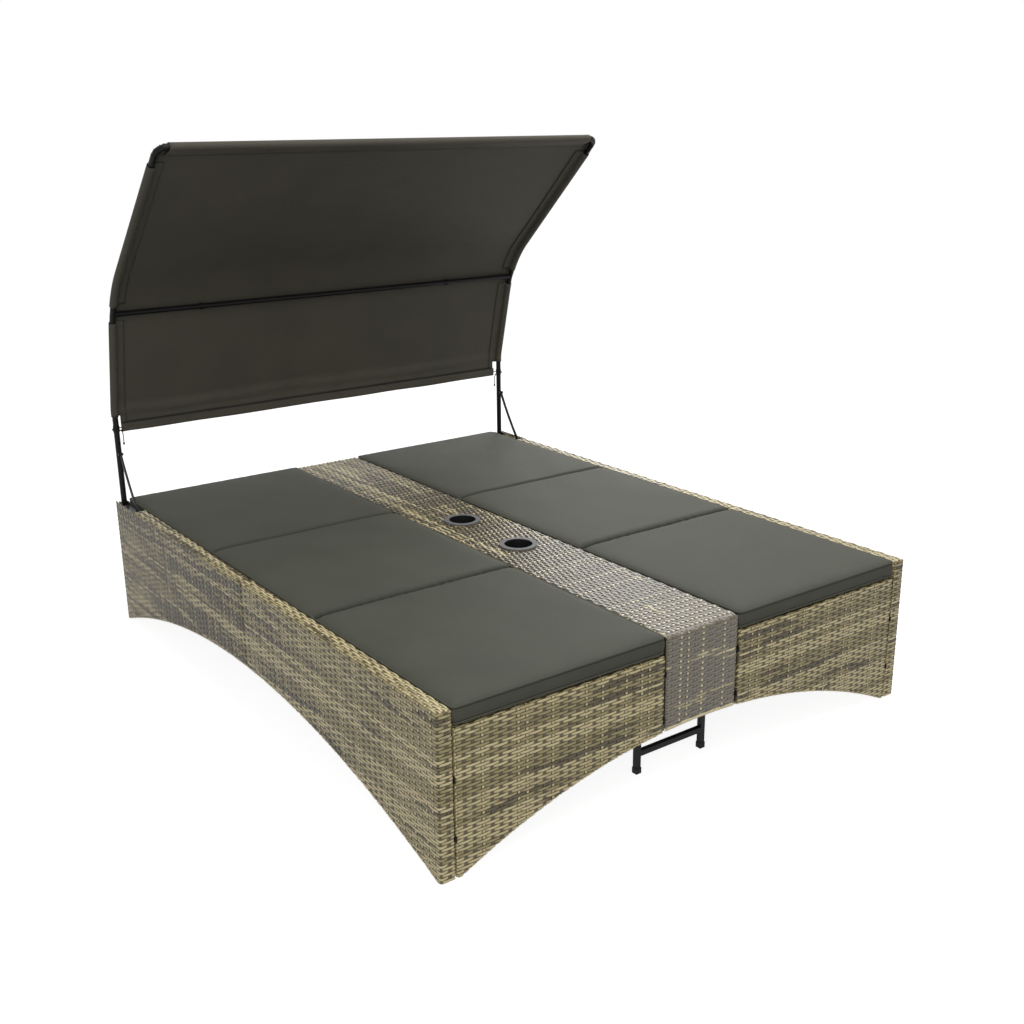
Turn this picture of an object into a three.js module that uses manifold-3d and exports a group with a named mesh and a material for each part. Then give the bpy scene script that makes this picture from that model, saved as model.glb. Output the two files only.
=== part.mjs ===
// An outdoor daybed for two, with a centre console and a canopy that folds back. Millimetres, +Z up.
// The origin is on the floor under the middle. -Y is the foot end, +Y the head end and -X the left side.
import * as THREE from "three";
import { mergeVertices } from "three/addons/utils/BufferGeometryUtils.js";
import Module from "manifold-3d";

// Overall sizes
const LENGTH = 2000;
const WIDTH = 1615;
const BASE_HEIGHT = 428;
const CONSOLE_WIDTH = 254;
const BACKREST_REACH = 704; // hinge line to the head end
const FOOT_SECTION = 649; // foot end to the sewn fold of the cushion

// Gaps between pieces
const REST_GAP = 0.3; // pieces that bear on each other
const RUNNING_GAP = 0.6; // pieces that pass each other
const OVERRUN = 10; // how far a cutter reaches past what it cuts
const WELD = 0.001; // corners this close are one corner

// Woven panels
const PANEL_WALL = 41;
const CONSOLE_WALL = 20;
const WRAP_RADIUS = 6; // rounding where the weave wraps an edge
const CONSOLE_CORNER = 10; // rounding along the console's top edges, more than the wrap
const SIDE_ARCH_RISE = 176;
const SIDE_TOE = 15;
const END_ARCH_RISE = 172;
const END_TOE = 12;
const PANEL_SEAM = 4; // between an end panel and its neighbours
const HALF_SEAM = 1; // between the two halves of a side or of the console

// Steel joining plates
const SPLICE_WALL = 3;
const SPLICE_LENGTH = 120;
const SPLICE_HEIGHT = 90;
const SPLICE_DROP = 15; // below the seat deck
const HOOK_DEPTH = 26;
const HOOK_HEIGHT = 20;
const HOOK_SETBACK = 9; // from the front face to the plate behind the hook heads
const OUTER_HOOK_DROPS = [326, 176]; // below the top of the base
const INNER_HOOK_DROPS = [229, 100];

// Legs under the console
const LEG_TUBE = 15;
const LEG_SETBACK = 111; // from the foot or head end
const LEG_BAR_HEIGHT = 57;
const CAP_SIZE = 17.6;
const CAP_HEIGHT = 17;
const CAP_FLOOR = 3;

// Cup holders
const CUP_FOOT_PLACE = 213; // from the middle towards the foot end
const CUP_HEAD_PLACE = 88; // from the middle towards the head end
const CUP_FLANGE_RADIUS = 58;
const CUP_RIM = 5;
const CUP_RADIUS = 43; // inside
const CUP_WALL = 2;
const CUP_DEPTH = 75;

// Seat and backrest decks
const SEAT_SINK = 50; // deck below the top of the base
const DECK_THICK = 16;
const RAIL_WIDTH = 20;
const RAIL_HEIGHT = 25;
const RIB_WIDTH = 20;
const RIB_COUNT = 4;
const RIB_DROP = 7; // ribs below the woven seat
const EAR_WALL = 6;
const EAR_REACH = 12;
const HINGE_RADIUS = 4;
const RECLINE_DEGREES = 60;

// Backrest props and their racks
const PROP_ARM = 310; // hinge to prop pivot, and prop pivot to foot bar
const PROP_DROP_DEGREES = 3;
const PROP_HALF_WIDTH = 214;
const PROP_RADIUS = 6;
const PROP_BEND = 12;
const PROP_PIN_END = 2; // pin past its lug
const LUG_WALL = 6;
const LUG_EDGE = 4; // wall round the pin
const RACK_HALF_WIDTH = 196;
const RACK_WALL = 6;
const RACK_BAR_WIDTH = 20;
const RACK_BAR_HEIGHT = 18;
const RACK_MARGIN = 18; // from the foot bar's end places to the cross bars
const NOTCH_DEPTH = 6;
const NOTCH_DEGREES = [20, 34, 48, 60];

// Cushions
const CUSHION_SIDE_GAP = 2;
const CUSHION_EDGE = 44;
const CUSHION_CROWN = 9;
const CUSHION_END_INSET = 1.5;
const CUSHION_CORNER = 15; // how far a corner draws in
const SIDE_PULL = 4;
const SIDE_BULGE = 3;
const CREASE_DEPTH = 7;

// Canopy places
const POST_SETBACK = 22; // post centre to the head end
const PIVOT_DROP = 8.5; // pivot below the top of the base
const COLLAR_HEIGHT = 690;
const HEM_HEIGHT = 666;
const LEAN_HEIGHT = 747; // where the side tubes begin to lean
const CROSSBAR_HEIGHT = 1072;
const ROOF_BEND_HEIGHT = 1127;
const TOP_BAR_HEIGHT = 1590;
const LEAN_DEGREES = 14;
const RAKE_DEGREES = 47.5;

// Canopy tubes
const TUBE_RADIUS = 9.5;
const COLLAR_RADIUS = 11;
const COLLAR_LENGTH = 20;
const LEAN_BEND = 60;
const ROOF_BEND = 400;
const ELBOW_ARM = 60;
const ELBOW_BEND = 34;
const CROSSBAR_RADIUS = 8.5;
const STUB_LENGTH = 300;

// Brackets, bolts and stays at the posts
const RECESS_LENGTH = 170;
const BRACKET_PLATE = 3;
const BRACKET_INSET = 2;
const CHEEK_WALL = 2.5;
const CHEEK_HALF_LENGTH = 14;
const CHEEK_CLEARANCE = 0.9; // between the post and each cheek
const CHEEK_RISE = 7.5; // above the pivot
const POST_END_RADIUS = 9;
const PIVOT_RADIUS = 4;
const BOLT_HEAD_RADIUS = 7;
const BOLT_HEAD_HEIGHT = 2;
const STAY_WALL = 5.5;
const STAY_HALF_WIDTH = 4.5;
const STAY_BOW = 5;
const STAY_EYE_RADIUS = 5.5;
const STAY_FOOT_RADIUS = 10;
const STAY_BOLT_RADIUS = 2.5;
const STAY_HEAD_RADIUS = 4.5;
const STAY_BOLT_HEIGHT = 596;
const STAY_SETBACK = 16; // post centre to the stay's upper bolt
const STAY_REACH = 128; // post pivot to the stay's foot
const STAY_LUG_WALL = 2.5;

// Canopy cloth
const CLOTH_WALL = 2.5;
const CLOTH_CUTBACK = 74; // sleeve ends before the corners
const CLOTH_CORNER = 58; // width of the cut corner from the post line
const HEM_DEPTH = 40;
const HEM_SWELL = 3; // hem roll past the cloth on each side
const HEM_INSET = 22; // hem end to the post line
const SLEEVE_HEIGHT = 722; // where the side sleeves begin
const ROOF_SAG = 16;
const BACK_SAG = 5;
const TIE_RADIUS = 1.5;

// Steps of the round shapes
const ROUND_STEPS = 5; // half the sides of a round bar
const BORE_STEPS = 8;
const CUP_STEPS = 24;
const ARCH_STEPS = 6;
const WRAP_STEPS = 2;
const BEND_STEPS = 4;
const SLEEVE_SIDES = 8;
const CLOTH_RUNS = 4; // parts of each straight run of the cloth
const CLOTH_CELLS = 8; // across the cloth between its sleeves
const TIE_STEPS = 20;
const TIE_SIDES = 4; // half the sides of a tie cord
const PAD_CELLS_ACROSS = 10;
const PAD_CELLS_ALONG = 8; // for each section of a cushion
const PAD_CELLS_UP = 2;

// Places that follow from the sizes
const radians = THREE.MathUtils.degToRad;
const halfLength = LENGTH / 2;
const halfConsole = CONSOLE_WIDTH / 2;
const sideInner = WIDTH / 2 - PANEL_WALL;
const postX = WIDTH / 2 - PANEL_WALL / 2;
const endInner = halfLength - PANEL_WALL;
const hingeY = halfLength - BACKREST_REACH;
const deckTop = BASE_HEIGHT - SEAT_SINK;
const barrelRadius = (DECK_THICK - REST_GAP) / 2;
const hingeZ = deckTop - barrelRadius;
const railTop = deckTop - DECK_THICK;
const railBottom = railTop - RAIL_HEIGHT;
const loungerX = (sideInner + halfConsole) / 2;
const deckHalfWidth = (sideInner - halfConsole) / 2 - REST_GAP;
const propDrop = radians(PROP_DROP_DEGREES);
const pivotY = halfLength - POST_SETBACK;
const pivotZ = BASE_HEIGHT - PIVOT_DROP;
const plateTop = pivotZ - STAY_FOOT_RADIUS - REST_GAP;
const recessFloor = plateTop - BRACKET_PLATE - REST_GAP;
const cheekInner = TUBE_RADIUS + CHEEK_CLEARANCE;
const cheekOuter = cheekInner + CHEEK_WALL;
const stayLugInner = STAY_WALL / 2 + RUNNING_GAP;
const stayLugOuter = stayLugInner + STAY_LUG_WALL;
const lean = radians(LEAN_DEGREES);
const rake = radians(RAKE_DEGREES);

const SIDES = [["left", -1], ["right", 1]];

// Finishes
function finish(color, roughness, metalness = 0) {
  return new THREE.MeshStandardMaterial({ color, roughness, metalness });
}

const wovenResin = () => finish(0x9d9173, 0.45);
const consoleResin = () => finish(0x6f6757, 0.35);
const blackSteel = () => finish(0x1b1b1c, 0.4, 0.6);
const brightSteel = () => finish(0x77767a, 0.3, 0.9);
const blackPlastic = () => finish(0x151515, 0.5);
const greyPlastic = () => finish(0x6f6d70, 0.45);
const seatCloth = () => finish(0x56574c, 0.9);
const canopyCloth = () => finish(0x37342c, 0.85);
const cord = () => finish(0x22201c, 0.9);

const wasm = await Module();
wasm.setup();

// A closed solid from a geometry, for joining and cutting
function solid(geometry) {
  const bare = geometry.clone().deleteAttribute("normal").deleteAttribute("uv");
  const merged = mergeVertices(bare, WELD);
  const triVerts = new Uint32Array(merged.index.array);
  const mesh = { numProp: 3, vertProperties: merged.attributes.position.array, triVerts };
  return new wasm.Manifold(new wasm.Mesh(mesh));
}

// A geometry with flat faces from a solid
function geometryOf(made) {
  const { vertProperties, triVerts } = made.getMesh();
  const indexed = new THREE.BufferGeometry();
  indexed.setAttribute("position", new THREE.BufferAttribute(vertProperties, 3));
  indexed.setIndex(new THREE.BufferAttribute(triVerts, 1));
  const flat = indexed.toNonIndexed();
  flat.computeVertexNormals();
  return flat;
}

// Joins a list of geometries, then cuts another list from them
function build(joined, cut = []) {
  const whole = joined.map(solid).reduce((a, b) => a.add(b));
  return geometryOf(cut.map(solid).reduce((a, b) => a.subtract(b), whole));
}

function piece(name, geometry, material) {
  const mesh = new THREE.Mesh(geometry, material);
  mesh.name = name;
  return mesh;
}

function gathered(...items) {
  const group = new THREE.Group();
  if (items.length) group.add(...items);
  return group;
}

// A block between two corners
function block([x0, x1], [y0, y1], [z0, z1]) {
  const shape = new THREE.BoxGeometry(x1 - x0, y1 - y0, z1 - z0);
  return shape.translate((x0 + x1) / 2, (y0 + y1) / 2, (z0 + z1) / 2);
}

// A round bar along X at a place in the side view
function crossRod(radius, [x0, x1], y, z, steps = ROUND_STEPS) {
  const rod = new THREE.CylinderGeometry(radius, radius, x1 - x0, steps * 2);
  return rod.rotateZ(Math.PI / 2).translate((x0 + x1) / 2, y, z);
}

// A side-view outline, drawn as (y, z), made a plate that runs from x0 to x1
function sidePlate(outline, [x0, x1], options = {}) {
  const plate = new THREE.ExtrudeGeometry(outline, { depth: x1 - x0, bevelEnabled: false, ...options });
  const turn = new THREE.Matrix4().makeBasis(axis(0, 1, 0), axis(0, 0, 1), axis(1, 0, 0));
  return plate.applyMatrix4(turn).translate(x0, 0, 0);
}

// An end-view outline, drawn as (x, z), made a plate that runs from y0 to y1
function endPlate(outline, [y0, y1], options = {}) {
  const plate = new THREE.ExtrudeGeometry(outline, { depth: y1 - y0, bevelEnabled: false, ...options });
  const turn = new THREE.Matrix4().makeBasis(axis(1, 0, 0), axis(0, 0, 1), axis(0, -1, 0));
  return plate.applyMatrix4(turn).translate(0, y1, 0);
}

function axis(x, y, z) {
  return new THREE.Vector3(x, y, z);
}

// A span from a to b on the right, or its mirror on the left, with the lower end first
const handed = (hand, a, b) => [hand * a, hand * b].sort((p, q) => p - q);

// Extrusion settings that round the edges of a plate and keep its thickness
function wrapped(thickness) {
  return {
    depth: thickness - 2 * WRAP_RADIUS,
    bevelEnabled: true,
    bevelThickness: WRAP_RADIUS,
    bevelSize: WRAP_RADIUS,
    bevelOffset: -WRAP_RADIUS,
    bevelSegments: WRAP_STEPS,
    curveSegments: ARCH_STEPS,
  };
}

function outlineOf(points) {
  return new THREE.Shape(points.map(([x, y]) => new THREE.Vector2(x, y)));
}

// A centre line of straight runs and round bends, with a ring only where it turns.
// Where across is given, it stays the first axis of the section all the way.
class BentLine extends THREE.Curve {
  constructor(corners, across) {
    super();
    this.across = across;
    this.rings = [];
    const last = corners.length - 1;
    corners.forEach(({ at, bend }, i) => {
      const before = i ? at.clone().sub(corners[i - 1].at).normalize() : null;
      const after = i < last ? corners[i + 1].at.clone().sub(at).normalize() : null;
      if (!bend) {
        this.rings.push({ point: at, tangent: before ?? after });
        return;
      }
      const turn = before.angleTo(after);
      const turnAxis = before.clone().cross(after).normalize();
      const inward = after.clone().sub(before).normalize();
      const centre = at.clone().addScaledVector(inward, bend / Math.cos(turn / 2));
      const start = at.clone().addScaledVector(before, -bend * Math.tan(turn / 2)).sub(centre);
      for (let k = 0; k <= BEND_STEPS; k++) {
        const angle = (turn * k) / BEND_STEPS;
        const point = start.clone().applyAxisAngle(turnAxis, angle).add(centre);
        this.rings.push({ point, tangent: before.clone().applyAxisAngle(turnAxis, angle) });
      }
    });
  }

  get steps() {
    return this.rings.length - 1;
  }

  getPointAt(u, target = axis(0, 0, 0)) {
    return target.copy(this.rings[Math.round(u * this.steps)].point);
  }

  getTangentAt(u, target = axis(0, 0, 0)) {
    return target.copy(this.rings[Math.round(u * this.steps)].tangent);
  }

  computeFrenetFrames(steps, closed) {
    if (!this.across) return super.computeFrenetFrames(steps, closed);
    const tangents = this.rings.map(({ tangent }) => tangent);
    const normals = tangents.map(() => this.across);
    const binormals = tangents.map((tangent) => tangent.clone().cross(this.across));
    return { tangents, normals, binormals };
  }
}

// A round tube along a bent line
function bentTube(corners, radius) {
  const line = new BentLine(corners);
  const section = new THREE.Shape().absarc(0, 0, radius, 0, 2 * Math.PI);
  const settings = { steps: line.steps, extrudePath: line, curveSegments: ROUND_STEPS };
  return new THREE.ExtrudeGeometry(section, settings);
}

// A closed turned shape about Z from its (radius, z) profile
function turned(profile, steps) {
  const points = profile.map(([r, z]) => new THREE.Vector2(r, z));
  return new THREE.LatheGeometry(points, steps).rotateX(Math.PI / 2);
}

const archRadius = (halfSpan, rise) => (halfSpan ** 2 + rise ** 2) / (2 * rise);

// Height of an arch's underside at a distance from its middle
function archHeight(halfSpan, rise, distance) {
  const radius = archRadius(halfSpan, rise);
  return rise - radius + Math.sqrt(radius ** 2 - distance ** 2);
}

const sideArchHalf = halfLength - SIDE_TOE;
const endArchHalf = sideInner - PANEL_SEAM - END_TOE;
const endArch = (x) => archHeight(endArchHalf, END_ARCH_RISE, x);

// Adds the underside of an arch to an outline, from one distance to another
function addArch(outline, halfSpan, rise, from, to) {
  const radius = archRadius(halfSpan, rise);
  const angle = (distance) => Math.PI / 2 - Math.asin(distance / radius);
  outline.absarc(0, rise - radius, radius, angle(from), angle(to), true);
}

// The foot half of a side panel, lying about its own middle plane
function sidePanel() {
  const outline = new THREE.Shape();
  outline.moveTo(-halfLength, 0);
  outline.lineTo(-sideArchHalf, 0);
  addArch(outline, sideArchHalf, SIDE_ARCH_RISE, -sideArchHalf, -HALF_SEAM / 2);
  outline.lineTo(-HALF_SEAM / 2, BASE_HEIGHT);
  outline.lineTo(-halfLength, BASE_HEIGHT);
  const half = PANEL_WALL / 2 - WRAP_RADIUS;
  return sidePlate(outline, [-half, half], wrapped(PANEL_WALL));
}

// The head half has a recess in its top for the canopy bracket
function recessedSidePanel() {
  const recess = block(
    [-PANEL_WALL / 2 - OVERRUN, PANEL_WALL / 2 + OVERRUN],
    [-halfLength - OVERRUN, RECESS_LENGTH - halfLength],
    [recessFloor, BASE_HEIGHT + OVERRUN],
  );
  return build([sidePanel()], [recess]);
}

function endPanel() {
  const inner = halfConsole + PANEL_SEAM;
  const outer = sideInner - PANEL_SEAM;
  const outline = new THREE.Shape();
  outline.moveTo(inner, deckTop);
  outline.lineTo(inner, endArch(inner));
  addArch(outline, endArchHalf, END_ARCH_RISE, inner, endArchHalf);
  outline.lineTo(outer, 0);
  outline.lineTo(outer, deckTop);
  return endPlate(outline, [WRAP_RADIUS, PANEL_WALL - WRAP_RADIUS], wrapped(PANEL_WALL));
}

// One half of the console as an open-bottomed shell, made as the foot half
function consoleHalf(cupY) {
  const length = halfLength - HALF_SEAM / 2;
  const outline = new THREE.Shape();
  addArch(outline, endArchHalf, END_ARCH_RISE, -halfConsole, halfConsole);
  const cornerX = halfConsole - CONSOLE_CORNER;
  const cornerZ = BASE_HEIGHT - CONSOLE_CORNER;
  outline.lineTo(halfConsole, cornerZ);
  outline.absarc(cornerX, cornerZ, CONSOLE_CORNER, 0, Math.PI / 2);
  outline.absarc(-cornerX, cornerZ, CONSOLE_CORNER, Math.PI / 2, Math.PI);
  const ends = [WRAP_RADIUS - halfLength, WRAP_RADIUS - halfLength + length - 2 * WRAP_RADIUS];
  const shell = endPlate(outline, ends, wrapped(length));
  const hollow = block(
    [CONSOLE_WALL - halfConsole, halfConsole - CONSOLE_WALL],
    [-endInner, OVERRUN],
    [-OVERRUN, BASE_HEIGHT - CONSOLE_WALL],
  );
  const cupHole = new THREE.CylinderGeometry(
    CUP_RADIUS + CUP_WALL + RUNNING_GAP,
    CUP_RADIUS + CUP_WALL + RUNNING_GAP,
    2 * CONSOLE_WALL + 2 * OVERRUN,
    CUP_STEPS,
  );
  cupHole.rotateX(Math.PI / 2).translate(0, cupY, BASE_HEIGHT - CONSOLE_WALL / 2);
  return build([shell], [hollow, cupHole]);
}

function cupHolder() {
  const profile = [
    [0, CUP_RIM - CUP_DEPTH - CUP_WALL],
    [CUP_RADIUS + CUP_WALL, CUP_RIM - CUP_DEPTH - CUP_WALL],
    [CUP_RADIUS + CUP_WALL, 0],
    [CUP_FLANGE_RADIUS, 0],
    [CUP_FLANGE_RADIUS, CUP_RIM],
    [CUP_RADIUS, CUP_RIM],
    [CUP_RADIUS, CUP_RIM - CUP_DEPTH],
    [0, CUP_RIM - CUP_DEPTH],
  ];
  return turned(profile, CUP_STEPS);
}

// A plate in a seam of the foot end with two hook heads that reach the front face
function seamHooks(drops) {
  const heights = drops.map((drop) => BASE_HEIGHT - drop);
  const x = [REST_GAP - PANEL_SEAM, -REST_GAP];
  const y = [WRAP_RADIUS / 2, HOOK_SETBACK + HOOK_DEPTH / 2];
  const plate = block(
    x,
    [HOOK_SETBACK, HOOK_SETBACK + HOOK_DEPTH],
    [heights[0] - HOOK_HEIGHT, heights[1] + HOOK_HEIGHT],
  );
  const heads = heights.map((z) => block(x, y, [z - HOOK_HEIGHT / 2, z + HOOK_HEIGHT / 2]));
  return build([plate, ...heads]);
}

function sideSplice() {
  const top = railBottom - SPLICE_DROP;
  return block([-SPLICE_WALL, 0], [-SPLICE_LENGTH / 2, SPLICE_LENGTH / 2], [top - SPLICE_HEIGHT, top]);
}

const legX = halfConsole - CONSOLE_WALL / 2;

function legFrame() {
  const half = LEG_TUBE / 2;
  const top = endArch(legX + half) - REST_GAP;
  const y = [-half, half];
  const legs = [-legX, legX].map((x) => block([x - half, x + half], y, [CAP_FLOOR + REST_GAP, top]));
  const bar = block([-legX, legX], y, [LEG_BAR_HEIGHT - half, LEG_BAR_HEIGHT + half]);
  return build([...legs, bar]);
}

function legCap() {
  const half = CAP_SIZE / 2;
  const socket = LEG_TUBE / 2 + REST_GAP;
  return build(
    [block([-half, half], [-half, half], [0, CAP_HEIGHT])],
    [block([-socket, socket], [-socket, socket], [CAP_FLOOR, CAP_HEIGHT + OVERRUN])],
  );
}

// The fixed lounger frame: a woven seat, side rails to the head end, and ears for the hinge rod
function seatDeck() {
  const front = -endInner + REST_GAP;
  const rear = endInner - REST_GAP;
  const seatEnd = hingeY - barrelRadius - RUNNING_GAP;
  const railInner = deckHalfWidth - RAIL_WIDTH;
  const seat = block([-deckHalfWidth, deckHalfWidth], [front, seatEnd], [railTop, deckTop]);
  const railOutline = outlineOf([
    [front, railBottom],
    [rear, railBottom],
    [rear, railTop],
    [seatEnd, railTop],
    [seatEnd, deckTop],
    [front, deckTop],
  ]);
  const pieces = [seat];
  const bores = [];
  for (const hand of [-1, 1]) {
    const earSpan = handed(hand, deckHalfWidth - EAR_WALL, deckHalfWidth);
    pieces.push(sidePlate(railOutline, handed(hand, railInner, deckHalfWidth)));
    pieces.push(block(earSpan, [hingeY - EAR_REACH, hingeY + EAR_REACH], [railBottom, deckTop]));
    const boreSpan = handed(hand, railInner, deckHalfWidth + OVERRUN);
    bores.push(crossRod(HINGE_RADIUS + REST_GAP, boreSpan, hingeY, hingeZ, BORE_STEPS));
  }
  for (let i = 0; i < RIB_COUNT; i++) {
    const low = THREE.MathUtils.lerp(front, seatEnd - RIB_WIDTH, i / (RIB_COUNT - 1));
    const across = [-railInner - RAIL_WIDTH / 2, railInner + RAIL_WIDTH / 2];
    pieces.push(block(across, [low, low + RIB_WIDTH], [railTop - RIB_DROP, deckTop - RIB_DROP]));
  }
  return build(pieces, bores);
}

function hingeRod() {
  return crossRod(HINGE_RADIUS, [-deckHalfWidth, deckHalfWidth], hingeY, hingeZ);
}

const propPivotY = PROP_ARM * Math.cos(propDrop);
const propPivotZ = -PROP_ARM * Math.sin(propDrop);
const lugInner = PROP_HALF_WIDTH + PROP_BEND + RUNNING_GAP;
const lugOuter = lugInner + LUG_WALL;

// The woven backrest, with the hinge axis as its origin
function backrestDeck() {
  const half = deckHalfWidth - EAR_WALL - RUNNING_GAP;
  const far = endInner - RUNNING_GAP - hingeY;
  const slab = block([-half, half], [0, far], [-barrelRadius, barrelRadius]);
  const barrel = crossRod(barrelRadius, [-half, half], 0, 0, BORE_STEPS);
  const lugHalf = PROP_RADIUS + REST_GAP + LUG_EDGE;
  const lugs = [];
  const bores = [crossRod(HINGE_RADIUS + REST_GAP, [-half - OVERRUN, half + OVERRUN], 0, 0, BORE_STEPS)];
  for (const hand of [-1, 1]) {
    const span = handed(hand, lugInner, lugOuter);
    lugs.push(block(span, [propPivotY - lugHalf, propPivotY + lugHalf], [propPivotZ - lugHalf, 0]));
    const bore = [span[0] - OVERRUN, span[1] + OVERRUN];
    bores.push(crossRod(PROP_RADIUS + REST_GAP, bore, propPivotY, propPivotZ, BORE_STEPS));
  }
  return build([slab, barrel, ...lugs], bores);
}

// A U-shaped bar that stands the backrest up, with its pivot as its origin
function backrestProp() {
  const pinEnd = lugOuter + PROP_PIN_END;
  return bentTube(
    [
      { at: axis(-pinEnd, 0, 0) },
      { at: axis(-PROP_HALF_WIDTH, 0, 0), bend: PROP_BEND },
      { at: axis(-PROP_HALF_WIDTH, PROP_ARM, 0), bend: PROP_BEND },
      { at: axis(PROP_HALF_WIDTH, PROP_ARM, 0), bend: PROP_BEND },
      { at: axis(PROP_HALF_WIDTH, 0, 0), bend: PROP_BEND },
      { at: axis(pinEnd, 0, 0) },
    ],
    PROP_RADIUS,
  );
}

// Distance from the hinge to the prop's foot bar at a recline angle
const footReach = (degrees) => 2 * PROP_ARM * Math.cos(radians(degrees)) * Math.cos(propDrop);

// Two notched rails that the foot bar stands on, on cross bars under the seat deck's rails
function propRack() {
  const barTop = railBottom - REST_GAP;
  const barBottom = barTop - RACK_BAR_HEIGHT;
  const seatDrop = (PROP_RADIUS + REST_GAP) / Math.cos(propDrop);
  const frontBar = footReach(RECLINE_DEGREES) - PROP_RADIUS - RACK_MARGIN;
  const rearBar = footReach(0) + PROP_RADIUS + RACK_MARGIN;
  const topAt = (reach) => hingeZ - reach * Math.tan(propDrop) - seatDrop;
  const outline = outlineOf([
    [hingeY + frontBar - RACK_BAR_WIDTH, barBottom],
    [hingeY + rearBar, barBottom],
    [hingeY + rearBar, topAt(rearBar)],
    [hingeY + frontBar - RACK_BAR_WIDTH, topAt(frontBar - RACK_BAR_WIDTH)],
  ]);
  const bars = [frontBar - RACK_BAR_WIDTH, rearBar - RACK_BAR_WIDTH / 2].map((reach) => {
    return block(
      [-deckHalfWidth, deckHalfWidth],
      [hingeY + reach, hingeY + reach + RACK_BAR_WIDTH],
      [barBottom, barTop],
    );
  });
  const rails = [-RACK_HALF_WIDTH, RACK_HALF_WIDTH].map((x) => {
    return sidePlate(outline, [x - RACK_WALL / 2, x + RACK_WALL / 2]);
  });
  const across = [-RACK_HALF_WIDTH - RACK_WALL, RACK_HALF_WIDTH + RACK_WALL];
  const notches = NOTCH_DEGREES.map((degrees) => {
    const reach = footReach(degrees);
    return crossRod(PROP_RADIUS + REST_GAP, across, hingeY + reach, topAt(reach) + PROP_RADIUS - NOTCH_DEPTH);
  });
  return build([...bars, ...rails], notches);
}

const cushionHalf = deckHalfWidth + REST_GAP - CUSHION_SIDE_GAP;
const cushionBase = deckTop + REST_GAP;

// Y of the slanted end that a cushion turns towards its neighbour, at a height above the hinge
const foldFace = (aboveHinge) => aboveHinge * Math.tan(radians(RECLINE_DEGREES / 2)) + REST_GAP;

// How far a plain end draws in from its widest line, at a share a of the half width
const endInset = (a, swell) => CUSHION_END_INSET + SIDE_BULGE - swell + CUSHION_CORNER * a ** 8;

// A crowned pad of one or more sewn sections between two ends, which depend on height, width and swell
function pad(lowEnd, folds, highEnd, baseZ) {
  const sections = folds.length + 1;
  const rows = PAD_CELLS_ALONG * sections;
  const cells = new THREE.BoxGeometry(1, 1, 1, PAD_CELLS_ACROSS, rows, PAD_CELLS_UP);
  const place = cells.attributes.position;
  for (let i = 0; i < place.count; i++) {
    const a = 2 * place.getX(i);
    const row = Math.round((place.getY(i) + 1 / 2) * rows);
    const section = Math.min(Math.floor(row / PAD_CELLS_ALONG), sections - 1);
    const b = 2 * (row / PAD_CELLS_ALONG - section) - 1;
    const c = place.getZ(i) + 1 / 2;
    const height = c * (CUSHION_EDGE + CUSHION_CROWN * (1 - a ** 4) * (1 - b ** 4));
    const swell = SIDE_BULGE * (1 - (2 * c - 1) ** 2);
    const halfWidth = cushionHalf - SIDE_BULGE - SIDE_PULL * (1 - b ** 4) + swell;
    const low = section ? folds[section - 1] : lowEnd(height, a, swell);
    const high = section < folds.length ? folds[section] : highEnd(height, a, swell);
    place.setXYZ(i, a * halfWidth, THREE.MathUtils.lerp(low, high, (b + 1) / 2), baseZ + height);
  }
  return geometryOf(solid(cells));
}

function seatCushion() {
  const footEnd = (height, a, swell) => endInset(a, swell) - halfLength;
  const foldEnd = (height) => hingeY - foldFace(cushionBase - hingeZ + height);
  return pad(footEnd, [FOOT_SECTION - halfLength], foldEnd, cushionBase);
}

// The backrest's cushion, with the hinge axis as its origin
function backCushion() {
  const base = cushionBase - hingeZ;
  const headEnd = (height, a, swell) => BACKREST_REACH - endInset(a, swell);
  return pad((height) => foldFace(base + height), [], headEnd, base);
}

// The soft fold between the two cushion pieces, which crumples as the backrest rises
function cushionCrease() {
  const bottom = cushionBase;
  const top = cushionBase + CUSHION_EDGE;
  const halfAt = (z) => foldFace(z - hingeZ) - 2 * REST_GAP;
  const outline = outlineOf([
    [hingeY - halfAt(bottom), bottom],
    [hingeY + halfAt(bottom), bottom],
    [hingeY + halfAt(top), top],
    [hingeY, top - CREASE_DEPTH],
    [hingeY - halfAt(top), top],
  ]);
  const half = cushionHalf - SIDE_BULGE;
  return sidePlate(outline, [-half, half]);
}

// The bracket sunk in a side panel's top, about the post's pivot
function postBracket() {
  const bottom = recessFloor + REST_GAP - pivotZ;
  const plateHalf = PANEL_WALL / 2 - BRACKET_INSET / 2;
  const plate = block(
    [-plateHalf, plateHalf],
    [POST_SETBACK - RECESS_LENGTH + BRACKET_INSET, POST_SETBACK - BRACKET_INSET],
    [bottom, bottom + BRACKET_PLATE],
  );
  const cheeks = [-cheekOuter, cheekInner].map((x) => {
    return block([x, x + CHEEK_WALL], [-CHEEK_HALF_LENGTH, CHEEK_HALF_LENGTH], [bottom, CHEEK_RISE]);
  });
  return build([plate, ...cheeks], [
    crossRod(PIVOT_RADIUS + REST_GAP, [-plateHalf - OVERRUN, plateHalf + OVERRUN], 0, 0, BORE_STEPS),
  ]);
}

function pivotBolt() {
  const headFace = -cheekOuter - REST_GAP;
  return build([
    crossRod(PIVOT_RADIUS, [headFace - BOLT_HEAD_HEIGHT / 2, cheekOuter], 0, 0),
    crossRod(BOLT_HEAD_RADIUS, [headFace - BOLT_HEAD_HEIGHT, headFace], 0, 0),
  ]);
}

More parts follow.
